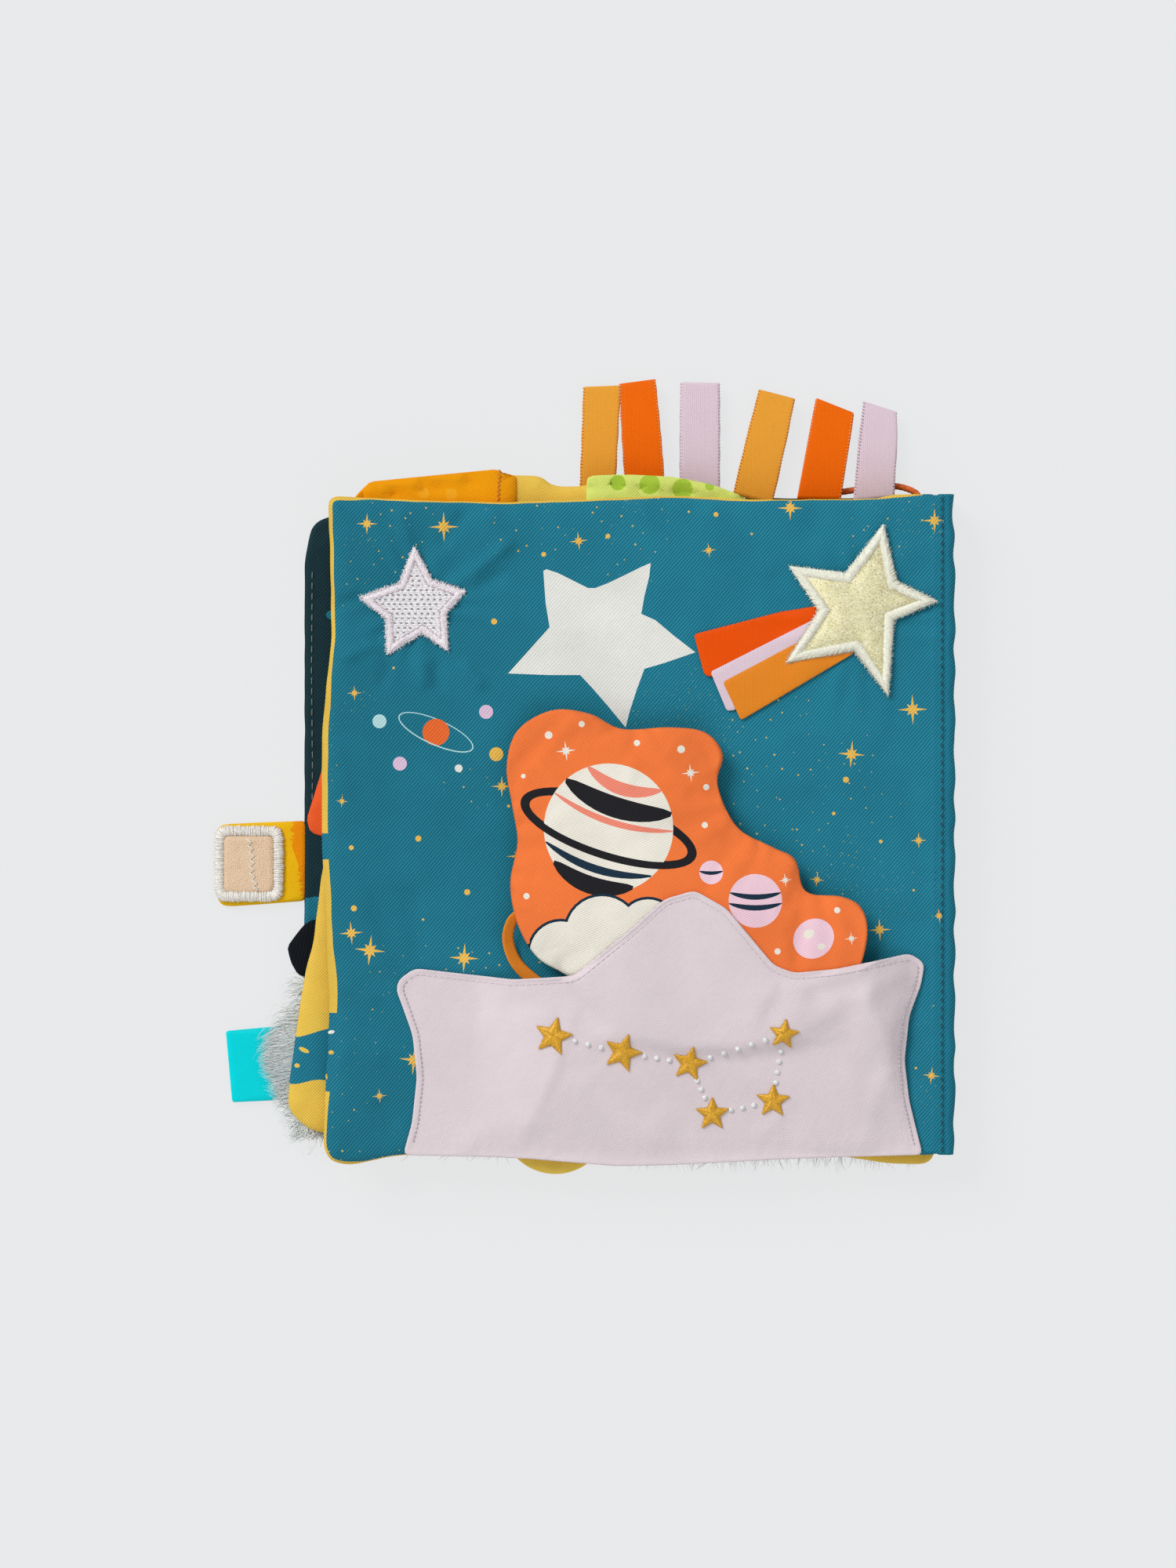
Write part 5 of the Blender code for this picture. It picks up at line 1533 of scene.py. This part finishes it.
POCKET_CREASES = (
    ((519, 1262), (623, 1298), 0.0050, -0.0013), ((530, 1254), (604, 1274), 0.0030, 0.0009),
    ((640, 1284), (702, 1275), 0.0034, -0.0007), ((1100, 1249), (1020, 1270), 0.0032, -0.0011),
    ((1172, 1236), (1090, 1262), 0.0030, 0.0009), ((998, 1238), (990, 1274), 0.0018, -0.0009),
    ((991, 1270), (970, 1300), 0.0034, -0.0008), ((1007, 1236), (1004, 1262), 0.0016, 0.0006),
    ((560, 1470), (700, 1420), 0.0045, 0.0006), ((1120, 1470), (1010, 1440), 0.0045, 0.0005),
    ((830, 1478), (860, 1400), 0.0045, 0.0005), ((1160, 1330), (1090, 1372), 0.0050, -0.0006),
)
pocket_path = placed(POCKET_SHARES, pocket_left, pocket_bottom, POCKET_WIDTH, POCKET_HEIGHT)
pocket_outline = rounded(pocket_path, POCKET_CORNER, 3)
pocket_sewn = pocket_path[26:] + pocket_path[:14]


def pocket_shape():
    """The pocket's level once its sheet, sewn at the sides and the bottom, has sunk on the toy."""
    outline = evenly(counter_clockwise(pocket_outline), 0.0024)
    flat, sides, _ = filled(outline, 0.0024, (), (0.0012,))
    toy_level = toy_ground.height(flat, FRONT_TOP)
    start = np.maximum(FRONT_TOP + 0.0008 + np.maximum(pocket_cavity(flat), 0), toy_level + 0.0009)
    held = np.flatnonzero(nearest_edge(flat, pocket_sewn, False)[0] < 0.0026)
    start[held] = FRONT_TOP + 0.0006
    base = [(-0.12, -0.12, FRONT_TOP), (0.12, -0.12, FRONT_TOP), (0.12, 0.03, FRONT_TOP), (-0.12, 0.03, FRONT_TOP)]
    blocks = ((base, [(0, 1, 2, 3)]), ([v.co for v in toy.data.vertices], [p.vertices for p in toy.data.polygons]))
    rest = settled(np.column_stack([flat, start]), sides, held, 26, shrink=-0.02, gravity=1.0, over=blocks)
    rest[:, 2] = np.clip(rest[:, 2], FRONT_TOP, start + 0.002)
    return Ground(sheet=(rest, sides))


def make_pocket():
    outline = evenly(counter_clockwise(pocket_outline), 0.0012)
    places, faces, _ = filled(outline, 0.0016, (), (0.0004, 0.0009, 0.0013, 0.0018))
    depth, run = nearest_edge(places, outline)
    leaf_level = np.maximum(front_ground.height(places, FRONT_TOP), FRONT_TOP)
    toy_level = toy_ground.height(places, FRONT_TOP)
    sunk = pocket_shape().height(places, FRONT_TOP)
    level = 0.35 * sunk + 0.65 * (FRONT_TOP + pocket_cavity(places)) + 0.0002
    add_creases(level, places, POCKET_CREASES)
    level += 0.00020 * bumps(places, 0.016, 14) * smooth_step(0, 0.008, depth)
    sewn = np.exp(-(nearest_edge(places, pocket_sewn, False)[0] / 0.006) ** 2)
    free = 1 - np.clip(sewn * 2, 0, 1)
    wave = gathers(run, 0.0052, 0.02, 15)
    level += 0.00022 * wave * np.exp(-((depth - 0.0045) / 0.003) ** 2) * (1 - free)
    level = np.maximum(level, leaf_level + 0.0006)
    level = np.maximum(level, toy_level + 0.0006)
    for _ in range(2):
        level = np.maximum(smoothed(level, faces) * 0.5 + level * 0.5, np.maximum(leaf_level, toy_level) + 0.00055)
    level += free * (0.0003 * np.exp(-((depth - 0.0005) / 0.0004) ** 2)
                     - 0.00012 * np.exp(-((depth - 0.0012) / 0.00025) ** 2))
    level += (1 - free) * 0.0002 * np.exp(-((depth - 0.0008) / 0.0008) ** 2)
    vertices = np.vstack([np.column_stack([places, level - 0.0004]), np.column_stack([places, level + 0.0003])])
    count = len(places)
    all_faces = list(faces[:, ::-1]) + list(faces + count) + list(rim_walls(len(outline), 0, count))
    return add_piece("pocket_cloth", vertices, all_faces, [CLOTHS["lilac"]], "front_leaf",
                     ["pocket_panel"])


tether = add_tether()
toy_ground = Ground(toy, tether)
pocket = make_pocket()
pocket_ground = Ground(pocket)
POCKET_LEVEL = FRONT_TOP + 0.0015


def add_pocket_stitches():
    """Small grey stitches along the sewn sides, and the hem's line along the free edge."""
    line = inset(evenly(counter_clockwise(pocket_outline), 0.0008), 0.0019)
    sewn = nearest_edge(line, pocket_sewn, False)[0]
    side = (sewn < 0.0026) & (line[:, 1] > pocket_bottom + 0.003)
    free = sewn > 0.0030
    for name, keep, length, gap, radius, cloth in (
            ("pocket_side_stitches", side, 0.0008, 0.0006, 0.00024, "lilac_sewing"),
            ("pocket_hem_line", free, 0.0016, 0.0004, 0.00008, "lilac")):
        first = int(np.flatnonzero(~keep)[0])
        runs, current = [], []
        for point, use in zip(np.roll(line, -first, axis=0), np.roll(keep, -first)):
            if use:
                current.append(tuple(point))
            elif current:
                runs.append(current)
                current = []
        if current:
            runs.append(current)
        for number, run in enumerate(r for r in runs if len(r) > 10):
            stitches(f"{name}_{number + 1}", run, pocket_ground, CLOTHS[cloth], "front_leaf",
                     length=length, gap=gap, radius=radius, fallback=POCKET_LEVEL)


add_pocket_stitches()

DIPPER_STARS = ((706, 1320, 23), (794, 1341, 23), (879, 1355, 21), (998, 1317, 18), (985, 1403, 20), (908, 1420, 20))
DIPPER_TURNS = (-13, -18, -12, -8, -2, 0)
# which stars are joined, and by how many dots
DIPPER_LINE = ((0, 1, 3), (1, 2, 3), (2, 3, 5), (3, 4, 4), (4, 5, 3), (5, 2, 3))
STAR_ROOM = 0.86
# a dot's rings as radius and height, and its own height
DOT_RINGS = ((0.00090, -0.0002), (0.00086, 0.0003), (0.00058, 0.00054))
DOT_HEIGHT = 0.00078


def dipper_thread_routes(centre, radius, tilt, rng):
    """Satin stitches of one small star, from the ridge of each point to its edges."""
    routes = []
    centre = np.array(centre)
    tips, valleys = [], []
    for k in range(5):
        angle = math.radians(tilt) + math.pi / 2 + k * 2 * math.pi / 5
        tips.append(centre + radius * np.array([math.cos(angle), math.sin(angle)]))
        angle += math.pi / 5
        valleys.append(centre + radius * 0.46 * np.array([math.cos(angle), math.sin(angle)]))
    for k in range(5):
        for valley in (valleys[k], valleys[k - 1]):
            many = 15
            for step in range(many):
                t = (step + rng.uniform(0.3, 0.7)) / many
                ridge_point = centre + (tips[k] - centre) * t
                edge_point = valley + (tips[k] - valley) * t
                height = 1 - t * 0.75
                routes.append([(*(ridge_point + (edge_point - ridge_point) * s), height * h)
                               for s, h in ((-0.12, 0.96), (0.2, 0.95), (0.5, 0.75), (0.8, 0.42), (1.04, -0.05))])
    return np.array(routes)


def add_dipper():
    rng = random.Random(31)
    for number, (column, row, size) in enumerate(DIPPER_STARS, 1):
        routes = dipper_thread_routes(at(column, row), metres(1.07 * size), DIPPER_TURNS[number - 1], rng)
        level = pocket_ground.under(routes[..., :2], POCKET_LEVEL)
        routes[..., 2] = level + 0.0002 + 0.0011 * routes[..., 2]
        threads(f"dipper_star_{number}", routes, 0.00024, CLOTHS["gold_thread"], "front_leaf",
                [f"dipper_star_{number}"])
    sides = 10
    vertices, faces = [], []
    for a, b, many in DIPPER_LINE:
        start, end = np.array(at(*DIPPER_STARS[a][:2])), np.array(at(*DIPPER_STARS[b][:2]))
        gap = np.linalg.norm(end - start)
        low = metres(DIPPER_STARS[a][2]) * STAR_ROOM
        high = gap - metres(DIPPER_STARS[b][2]) * STAR_ROOM
        for k in range(many):
            place = start + (end - start) * (low + (high - low) * (k + 0.5) / many) / gap
            base = pocket_ground.height([place], POCKET_LEVEL)[0]
            first = len(vertices)
            for reach, rise in DOT_RINGS:
                vertices += [(x, y, base + rise) for x, y in dot(place, reach, sides)]
            vertices.append((place[0], place[1], base + DOT_HEIGHT))
            top = first + (len(DOT_RINGS) - 1) * sides
            faces += walls_along(len(DOT_RINGS), sides, first)
            faces += [(top + i, top + (i + 1) % sides, top + sides) for i in range(sides)]
            faces.append(tuple(range(first, first + sides))[::-1])
    add_piece("dipper_line_dots", vertices, faces, [CLOTHS["silver_thread"]], "front_leaf", ())


add_dipper()


# Straps and ribbons

RIBBONS = (
    # seen corners: top left, top right, bottom left, bottom right
    ("1", (744, 494), (792, 492), (740, 605), (786, 605), "tan"),
    ("2", (790, 490), (836, 484), (796, 605), (847, 605), "orange"),
    ("3", (868, 488), (918, 489), (867, 607), (918, 611), "lilac"),
    ("4", (968, 497), (1014, 509), (938, 617), (988, 630), "tan"),
    ("5", (1041, 508), (1089, 527), (1017, 633), (1073, 634), "orange"),
    ("6", (1101, 512), (1144, 526), (1089, 631), (1141, 626), "lilac"),
)


def add_ribbons():
    for number, top_left, top_right, bottom_left, bottom_right, colour in RIBBONS:
        node = "ribbon_loop_" + number
        low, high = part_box(node)
        level = (low.z + high.z) / 2
        corners = [np.array(seen(*corner)) for corner in (bottom_left, bottom_right, top_left, top_right)]
        foot, tip = (corners[0] + corners[1]) / 2, (corners[2] + corners[3]) / 2
        foot_side, tip_side = corners[1] - corners[0], corners[3] - corners[2]
        begin = (low.y - 0.0014 - foot[1]) / (tip[1] - foot[1])
        rng = random.Random(40 + int(number))
        swing = rng.uniform(-0.5, 0.5)
        way = (tip - foot) / np.linalg.norm(tip - foot)
        steps, gap = 24, 0.0004
        path, sides, widths, edges = [], [], [], []

        def step(t, turn, shift, height):
            s = begin + (1 - begin) * t
            side = foot_side + (tip_side - foot_side) * s ** 2
            path.append((*(foot + (tip - foot) * s + shift), height))
            sides.append((*(side / np.linalg.norm(side)), 0.04 * swing))
            widths.append(np.linalg.norm(side) * turn)
        for k in range(steps + 1):
            t = k / steps
            bow = np.array([way[1], -way[0]]) * 0.0004 * math.sin(math.pi * t) * swing
            step(t, 0.985, bow - way * gap * t, level - gap + 0.0003 * math.sin(math.pi * t))
        for k in range(1, 6):
            angle = math.pi * (k / 6 - 0.5)
            step(1, 0.99, way * (gap * math.cos(angle) - gap), level + gap * math.sin(angle))
        for k in range(steps + 1):
            t = 1 - k / steps
            step(t, 1.0, -way * gap * t, level + gap + 0.0006 * math.sin(math.pi * t))
        strip(node, path, sides, np.array(widths), 0.00032, [CLOTHS["satin_" + colour]] * 2,
              "ribbon_" + number, [node], picot=0.00012)
        upper = evenly(path[-steps - 1:], 0.00105, False)
        spread = np.interp(upper[:, 1], np.array(path)[::-1, 1][:steps + 1], np.array(widths)[::-1][:steps + 1])
        for place, wide in zip(upper, spread):
            across = tip_side / np.linalg.norm(tip_side)
            for hand in (-1, 1):
                start = place[:2] + across * hand * (wide / 2 + 0.00008)
                end = start - across * hand * 0.0007 - way * 0.00025
                edges.append([(*(start + (end - start) * s), place[2] + 0.00008 + rise)
                              for s, rise in ((0, 0.0), (0.5, 0.00012), (1, 0.00004))])
        threads("ribbon_edge_" + number, np.array(edges), 0.00017, CLOTHS["picot_" + colour], "ribbon_" + number, (),
                sides=4)


add_ribbons()


CORD_SHARES = ((0.00, 0.00), (0.00, 0.24), (0.05, 0.42), (0.16, 0.48), (0.36, 0.72), (0.55, 0.96), (0.68, 1.00),
               (0.82, 0.86), (0.93, 0.58), (0.99, 0.26), (1.00, 0.00))
CORD_RADIUS = 0.00105
BRAID_PERIOD = 0.0030
SEAM_GAP = 0.0003


def add_cord():
    """The braided cord loop, round from seam to seam under the last two ribbons."""
    low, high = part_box("cord_loop")
    radius = CORD_RADIUS
    left, span, reach = low.x + radius, high.x - low.x - 2 * radius, high.y - radius - BACK_TOP - SEAM_GAP
    route = through([(left + span * x, BACK_TOP + SEAM_GAP + reach * y, radius) for x, y in CORD_SHARES], 12, False)
    route = np.array(route)
    sides = 16
    along = np.gradient(route, axis=0)
    along /= np.linalg.norm(along, axis=1)[:, None]
    side = np.cross(along, (0, 0, 1.0))
    run = np.concatenate([[0], np.cumsum(np.linalg.norm(np.diff(route, axis=0), axis=1))])
    vertices = []
    for k in range(len(route)):
        turn = run[k] / BRAID_PERIOD * 2 * math.pi
        for i in range(sides):
            angle = 2 * math.pi * i / sides
            braid = 0.5 * abs(math.sin(angle * 1.5 + turn)) + 0.5 * abs(math.sin(angle * 1.5 - turn))
            r = radius * (0.90 + 0.10 * braid)
            vertices.append(route[k] + side[k] * r * math.cos(angle) + np.array([0, 0, r * math.sin(angle)]))
    faces = walls_along(len(route), sides) + end_caps(len(route), sides)
    cord = add_piece("cord_loop_braid", vertices, faces, [CLOTHS["cord"]], "back_leaf", ["cord_loop"])


add_cord()


# Closing tab, hook patch and label

def outline_in(node, shares, radius):
    """A rounded outline whose corners are shares of a node's box."""
    low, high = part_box(node)
    return rounded(placed(shares, low.x, low.y, high.x - low.x, high.y - low.y), radius)


def spots(*marks):
    return [(dot(at(column, row), metres(size), 20), 1) for column, row, size in marks]


def zigzag(path, swing):
    """Every second point of a path moved to the right, and the others to the left."""
    path[:, 0] += swing * np.where(np.arange(len(path)) % 2, 1, -1)
    return path


TAB_CORNERS = ((275, 1064), (279, 1054), (289, 1051), (336, 1049), (391, 1047), (391, 1098), (390, 1149),
               (340, 1153), (296, 1156), (283, 1155), (277, 1146))
# where the tab goes in under the leaves, its cloth is painted a deeper orange as painted shade
TAB_PAINTED_SHADE = ((374, 1044), (396, 1044), (396, 1154), (386, 1150), (381, 1104), (372, 1078))
ZIGZAG_ROUTE = ((317, 1070), (321, 1085), (322, 1097), (321, 1113), (325, 1125), (327, 1135))


def add_tab():
    low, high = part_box("closure_tab")
    middle = (low.z + high.z) / 2
    outline = evenly(counter_clockwise(rounded([seen(*p, middle) for p in TAB_CORNERS], 0.0015)), 0.0011)
    # the part painted deeper orange as shade under the leaves
    painted_shade_part = [seen(*p, middle) for p in TAB_PAINTED_SHADE]
    draped("closing_tab_cloth", outline, 0.0010, None, 0, high.z - low.z, [CLOTHS["tab"], CLOTHS["tab_painted_shade"]],
           "closing_tab", ["closure_tab"], fallback=low.z, edge=0.0007, regions=[(painted_shade_part, 1)],
           shape=lambda places, depth, run: 0.00012 * bumps(places, 0.007, 15))
    hook_low, hook_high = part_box("hook_patch")
    level = hook_low.z

    def box(left, top, right, bottom, radius):
        corners = [seen(*p, level) for p in ((left, bottom), (right, bottom), (right, top), (left, top))]
        return evenly(rounded(corners, radius), 0.0011)
    hook = box(285, 1066, 349, 1138, 0.0020)
    draped("hook_pad", hook, 0.0012, None, 0, hook_high.z - level, [CLOTHS["hooks"]], "closing_tab",
           ["hook_patch"], fallback=level,
           shape=lambda places, depth, run: 0.0001 * bumps(places, 0.004, 16))
    flat = zigzag(evenly([seen(*p, level) for p in ZIGZAG_ROUTE], 0.0011, False), 0.0007)
    path = np.column_stack([flat, np.full(len(flat), hook_high.z + 0.0001)])
    threads("hook_zigzag", path[None], 0.00030, CLOTHS["frame_thread"], "closing_tab", ())
    outer = box(274, 1054, 361, 1149, 0.0040)
    inner = inset(outer, 0.0029)
    rng = random.Random(51)
    bed = draped("hook_frame_bed", outer, 0.0012, None, -0.0001, 0.0003, [CLOTHS["cream_thread"]], "closing_tab",
                 ["hook_patch_frame"], fallback=level)
    routes = border_threads(outer, inner, Ground(bed), level + 0.0002, 0.0001, 0.0008, rng, 0.0004)
    threads("hook_frame_stitches", routes, 0.00021, CLOTHS["frame_thread"], "closing_tab", ())


add_tab()


def add_label():
    low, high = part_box("side_label")
    level = (low.z + high.z) / 2
    corners = [seen(*p, level) for p in ((288, 1315), (387, 1306), (387, 1402), (296, 1406))]
    outline = evenly(rounded(corners, 0.0004, 2), 0.0010)
    draped("label_satin_fold", outline, 0.0014, None, 0, high.z - low.z, [CLOTHS["label"]], "label",
           ["side_label"], fallback=low.z, edge=0.0003,
           shape=lambda places, depth, run: 0.00015 * bumps(places, 0.010, 17))


add_label()


# Pieces sewn between the leaves

def between(name, node, outline, materials, body, ground, regions=(), puff=0.0004):
    """A flat piece of cloth on a leaf, in place of a node."""
    outline = evenly(counter_clockwise(outline), 0.0016)
    return draped(name, outline, 0.0022, ground, 0.0002, 0.0006, materials, body, [node], edge=0.0005,
                  regions=regions, fallback=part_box(node)[0].z - 0.0003,
                  shape=lambda places, depth, run: puff * crown(depth, 0.006) - 0.0001
                  + 0.0001 * bumps(places, 0.008, 18))


AMBER_SHARES = ((0.000, 0.000), (1.075, 0.000), (1.086, 0.955), (1.030, 0.966), (0.985, 0.974), (0.955, 1.000),
                (0.370, 0.938), (0.105, 0.909), (0.000, 0.795))
AMBER_SPOTS = ((540, 628, 7), (575, 629, 8), (520, 660, 9), (560, 690, 10), (600, 665, 9))
HILL_SHARES = ((0.000, 0.000), (1.000, 0.000), (1.000, 0.735), (0.970, 0.794), (0.780, 0.904), (0.540, 0.978),
               (0.250, 1.000), (0.030, 0.990), (0.000, 0.960))
HILL_SPOTS = ((788, 614, 10), (829, 616, 13), (871, 622, 13), (906, 618, 6), (800, 660, 12), (850, 680, 12),
              (905, 665, 12), (940, 690, 9))
CORAL_SHARES = ((0.000, 0.228), (0.059, 0.053), (0.252, 0.000), (0.700, 0.000), (1.000, 0.300), (0.900, 0.900),
                (0.600, 1.000), (0.330, 1.000), (0.252, 0.908))
FELT_CORNERS = ((366, 1208), (371, 1228), (379, 1242), (385, 1246), (396, 1244), (440, 1240), (440, 1186),
                (400, 1172), (388, 1179), (376, 1194))


def add_inner_pieces():
    outline = outline_in("orange_pocket", AMBER_SHARES, 0.0012)
    flap = between("orange_pocket_cloth", "orange_pocket", outline, [CLOTHS["amber"], CLOTHS["amber_print"]],
                   "middle_leaf", middle_ground, spots(*AMBER_SPOTS), puff=0.0011)
    path = zigzag(evenly(all_at((638, 598), (636, 616), (635, 640), (636, 668)), 0.0007, False), 0.0004)
    level = Ground(flap).height(path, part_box("orange_pocket")[1].z)
    threads("orange_pocket_seam", np.column_stack([path, level + 0.0001])[None], 0.00026, CLOTHS["amber_thread"],
            "middle_leaf", ())
    between("green_hill_cloth", "green_hill", outline_in("green_hill", HILL_SHARES, 0.004),
            [CLOTHS["lime"], CLOTHS["lime_print"]], "middle_leaf", middle_ground, spots(*HILL_SPOTS))
    low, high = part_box("yellow_moon")
    radius = (high.x - low.x) / 2
    outline = dot(((low.x + high.x) / 2, (low.y + high.y) / 2), radius, 60)
    # the moon's cloth is painted lighter than the yellow twill, as painted light against the front leaf's shade
    between("yellow_moon_cloth", "yellow_moon", outline, [CLOTHS["moon_yellow_painted_lighter"]], "middle_leaf",
            middle_ground)
    between("coral_cloth", "coral_applique", outline_in("coral_applique", CORAL_SHARES, 0.0012), [CLOTHS["coral"]],
            "back_leaf", back_ground)
    low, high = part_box("black_felt_tab")
    outline = rounded([seen(*p, (low.z + high.z) / 2) for p in FELT_CORNERS], 0.0012)
    draped("black_felt_cloth", evenly(counter_clockwise(outline), 0.0016), 0.0022, None, 0, high.z - low.z,
           [CLOTHS["felt"]], "back_leaf", ["black_felt_tab"], fallback=low.z)


add_inner_pieces()


# Plush fur

FUR_SHARES = (
    (0.000, 0.130), (0.060, 0.000), (0.500, 0.020), (1.000, 0.000), (1.000, 0.420),
    (0.700, 0.520), (0.350, 0.780), (0.120, 1.000), (0.000, 0.900),
)
# the fur's ragged left edge in the picture, as a column for each row
FUR_RIM_ROWS = (1243, 1265, 1299, 1309, 1330, 1346, 1368, 1375, 1405, 1430, 1449, 1456)
FUR_RIM_COLUMNS = (368, 356, 364, 346, 334, 327, 336, 346, 347, 354, 362, 380)
# how many hairs: over the panel, at its left rim (the first ones in the rows that show), at its
# corner and along its foot
PANEL_HAIRS, RIM_HAIRS, SEEN_RIM_HAIRS, CORNER_HAIRS, FOOT_HAIRS = 4500, 2200, 1600, 160, 280
# how far inside the panel's left and bottom the backing and the roots stay
BACKING_MARGIN = (0.0035, 0.0015)
ROOT_MARGIN = (0.0032, 0.0020)


def add_fur():
    low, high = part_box("fur_panel")
    outline = evenly(counter_clockwise(outline_in("fur_panel", FUR_SHARES, 0.004)), 0.0016)
    backing = evenly(np.maximum(outline, (low.x + BACKING_MARGIN[0], low.y + BACKING_MARGIN[1])), 0.0016)
    draped("fur_backing", backing, 0.004, back_ground, 0.0001, 0.0007, [CLOTHS["plush"]], "back_leaf",
           ["fur_panel"], fallback=low.z - 0.0003)
    rng = random.Random(61)
    gen = np.random.default_rng(62)
    routes, sizes = [], []

    def strand(root, tip, foot, top, end, curl, size):
        """One hair: it rises from its root and droops to its tip."""
        root, tip = np.array(root), np.array(tip)
        side = np.array([root[1] - tip[1], tip[0] - root[0]]) * curl
        route = []
        for s in (0, 0.3, 0.65, 1):
            z = foot + (end - foot) * s + top * math.sin(math.pi * min(s * 1.1, 1))
            route.append((*(root + (tip - root) * s + side * math.sin(math.pi * s * 0.8)), z))
        routes.append(route)
        sizes.append(size * np.array([1.0, 0.95, 0.7, 0.15]))
    roots = []
    while len(roots) < PANEL_HAIRS:
        many = gen.uniform((low.x, low.y), (high.x, high.y), (4000, 2))
        roots += [tuple(p) for p in many[inside(many, outline) & (many[:, 0] > low.x + ROOT_MARGIN[0])
                                         & (many[:, 1] > low.y + ROOT_MARGIN[1])]]
    for x, y in roots[:PANEL_HAIRS]:
        angle = -2.3 + 1.5 * noise.noise((x / 0.018, y / 0.018, 2)) + rng.gauss(0, 0.35)
        length = rng.uniform(0.005, 0.008)
        tip = (x + length * math.cos(angle), y + length * math.sin(angle))
        strand((x, y), tip, low.z + 0.0003, rng.uniform(0.0006, 0.0014), low.z + 0.0008, rng.gauss(0, 0.2),
               rng.uniform(0.00010, 0.00017))
    for k in range(RIM_HAIRS):
        row = rng.uniform(1304, 1404) if k < SEEN_RIM_HAIRS else rng.uniform(1248, 1452)
        wave = 4 * noise.noise((row / 9, 0.3, 4)) + 3 * noise.noise((row / 4, 0.7, 9))
        reach = rng.random() ** 0.4
        rim = np.interp(row, FUR_RIM_ROWS, FUR_RIM_COLUMNS) + wave
        column = 396 + (rim - 396) * (0.3 + 0.7 * reach)
        root = seen(rng.uniform(388, 400), min(max(row + rng.gauss(-6, 7), 1256), 1440), 0.006)
        tip = seen(column, row + rng.gauss(3, 7), 0.004)
        strand(root, tip, low.z + 0.0002, rng.uniform(0.0002, 0.0014), rng.uniform(0.0034, 0.0056), rng.gauss(0, 0.25),
               rng.uniform(0.00008, 0.00014))
    for _ in range(CORNER_HAIRS):
        root = seen(rng.uniform(376, 412), rng.uniform(1426, 1442), 0.006)
        tip = seen(rng.uniform(366, 416), rng.uniform(1444, 1456), 0.005)
        strand(root, tip, low.z + 0.0002, rng.uniform(0.0002, 0.0014), rng.uniform(0.0040, 0.0056), rng.gauss(0, 0.22),
               rng.uniform(0.00009, 0.00017))
    for _ in range(FOOT_HAIRS):
        column = rng.uniform(815, 1165)
        wave = 5 * noise.noise((column / 12, 0.3, 6)) + 3 * noise.noise((column / 5, 0.7, 2))
        row = 1476 + (1495 + wave - 1476) * rng.random() ** 0.6
        root = seen(column + rng.gauss(0, 6), rng.uniform(1455, 1464), 0.006)
        tip = seen(column + rng.gauss(0, 6), row, 0.003)
        strand(root, tip, low.z + 0.0002, rng.uniform(0.0, 0.0012), rng.uniform(0.0012, 0.0048), rng.gauss(0, 0.2),
               rng.uniform(0.00007, 0.00012))
    threads("fur_strands", routes, np.array(sizes), CLOTHS["plush"], "back_leaf", (), sides=3)


add_fur()


# Floor, light and the end

def add_floor():
    floor = bpy.data.meshes.new("floor")
    size = 3.0
    floor.from_pydata([(-size, -size, 0), (size, -size, 0), (size, size, 0), (-size, size, 0)], [], [(0, 1, 2, 3)])
    made = bpy.data.materials.new("floor")
    made.use_nodes = True
    nodes, links = made.node_tree.nodes, made.node_tree.links
    shader = nodes["Principled BSDF"]
    colour = linear((233, 234, 235))
    shader.inputs["Base Color"].default_value = colour
    shader.inputs["Roughness"].default_value = 0.95
    shader.inputs["Specular IOR Level"].default_value = 0.0
    plain = nodes.new("ShaderNodeEmission")
    plain.inputs["Color"].default_value = colour
    rays = nodes.new("ShaderNodeLightPath")
    share = nodes.new("ShaderNodeMath")
    share.operation = "MULTIPLY"
    share.inputs[1].default_value = 0.9
    links.new(rays.outputs["Is Camera Ray"], share.inputs[0])
    both = nodes.new("ShaderNodeMixShader")
    links.new(share.outputs[0], both.inputs[0])
    links.new(shader.outputs[0], both.inputs[1])
    links.new(plain.outputs[0], both.inputs[2])
    links.new(both.outputs[0], nodes["Material Output"].inputs["Surface"])
    floor.materials.append(made)
    plane = bpy.data.objects.new("floor", floor)
    bpy.context.collection.objects.link(plane)


def add_lights():
    """A broad soft key from the upper left and an even white room."""
    for name, way, strength, spread in (("key", (-0.62, 0.62, 0.74), 2.0, 30), ("fill", (0.25, -0.8, 0.9), 0.52, 60)):
        lamp = bpy.data.lights.new(name, "SUN")
        lamp.energy = strength
        lamp.angle = math.radians(spread)
        lamp_object = bpy.data.objects.new(name, lamp)
        bpy.context.collection.objects.link(lamp_object)
        lamp_object.location = way
        lamp_object.rotation_mode = "QUATERNION"
        lamp_object.rotation_quaternion = (-Vector(way)).to_track_quat("-Z", "Y")
    world = bpy.data.worlds.new("studio")
    world.use_nodes = True
    background = world.node_tree.nodes["Background"]
    background.inputs["Color"].default_value = (1, 1, 1, 1)
    background.inputs["Strength"].default_value = 0.45
    bpy.context.scene.world = world
    bpy.context.scene.view_settings.view_transform = "Standard"


add_floor()
add_lights()
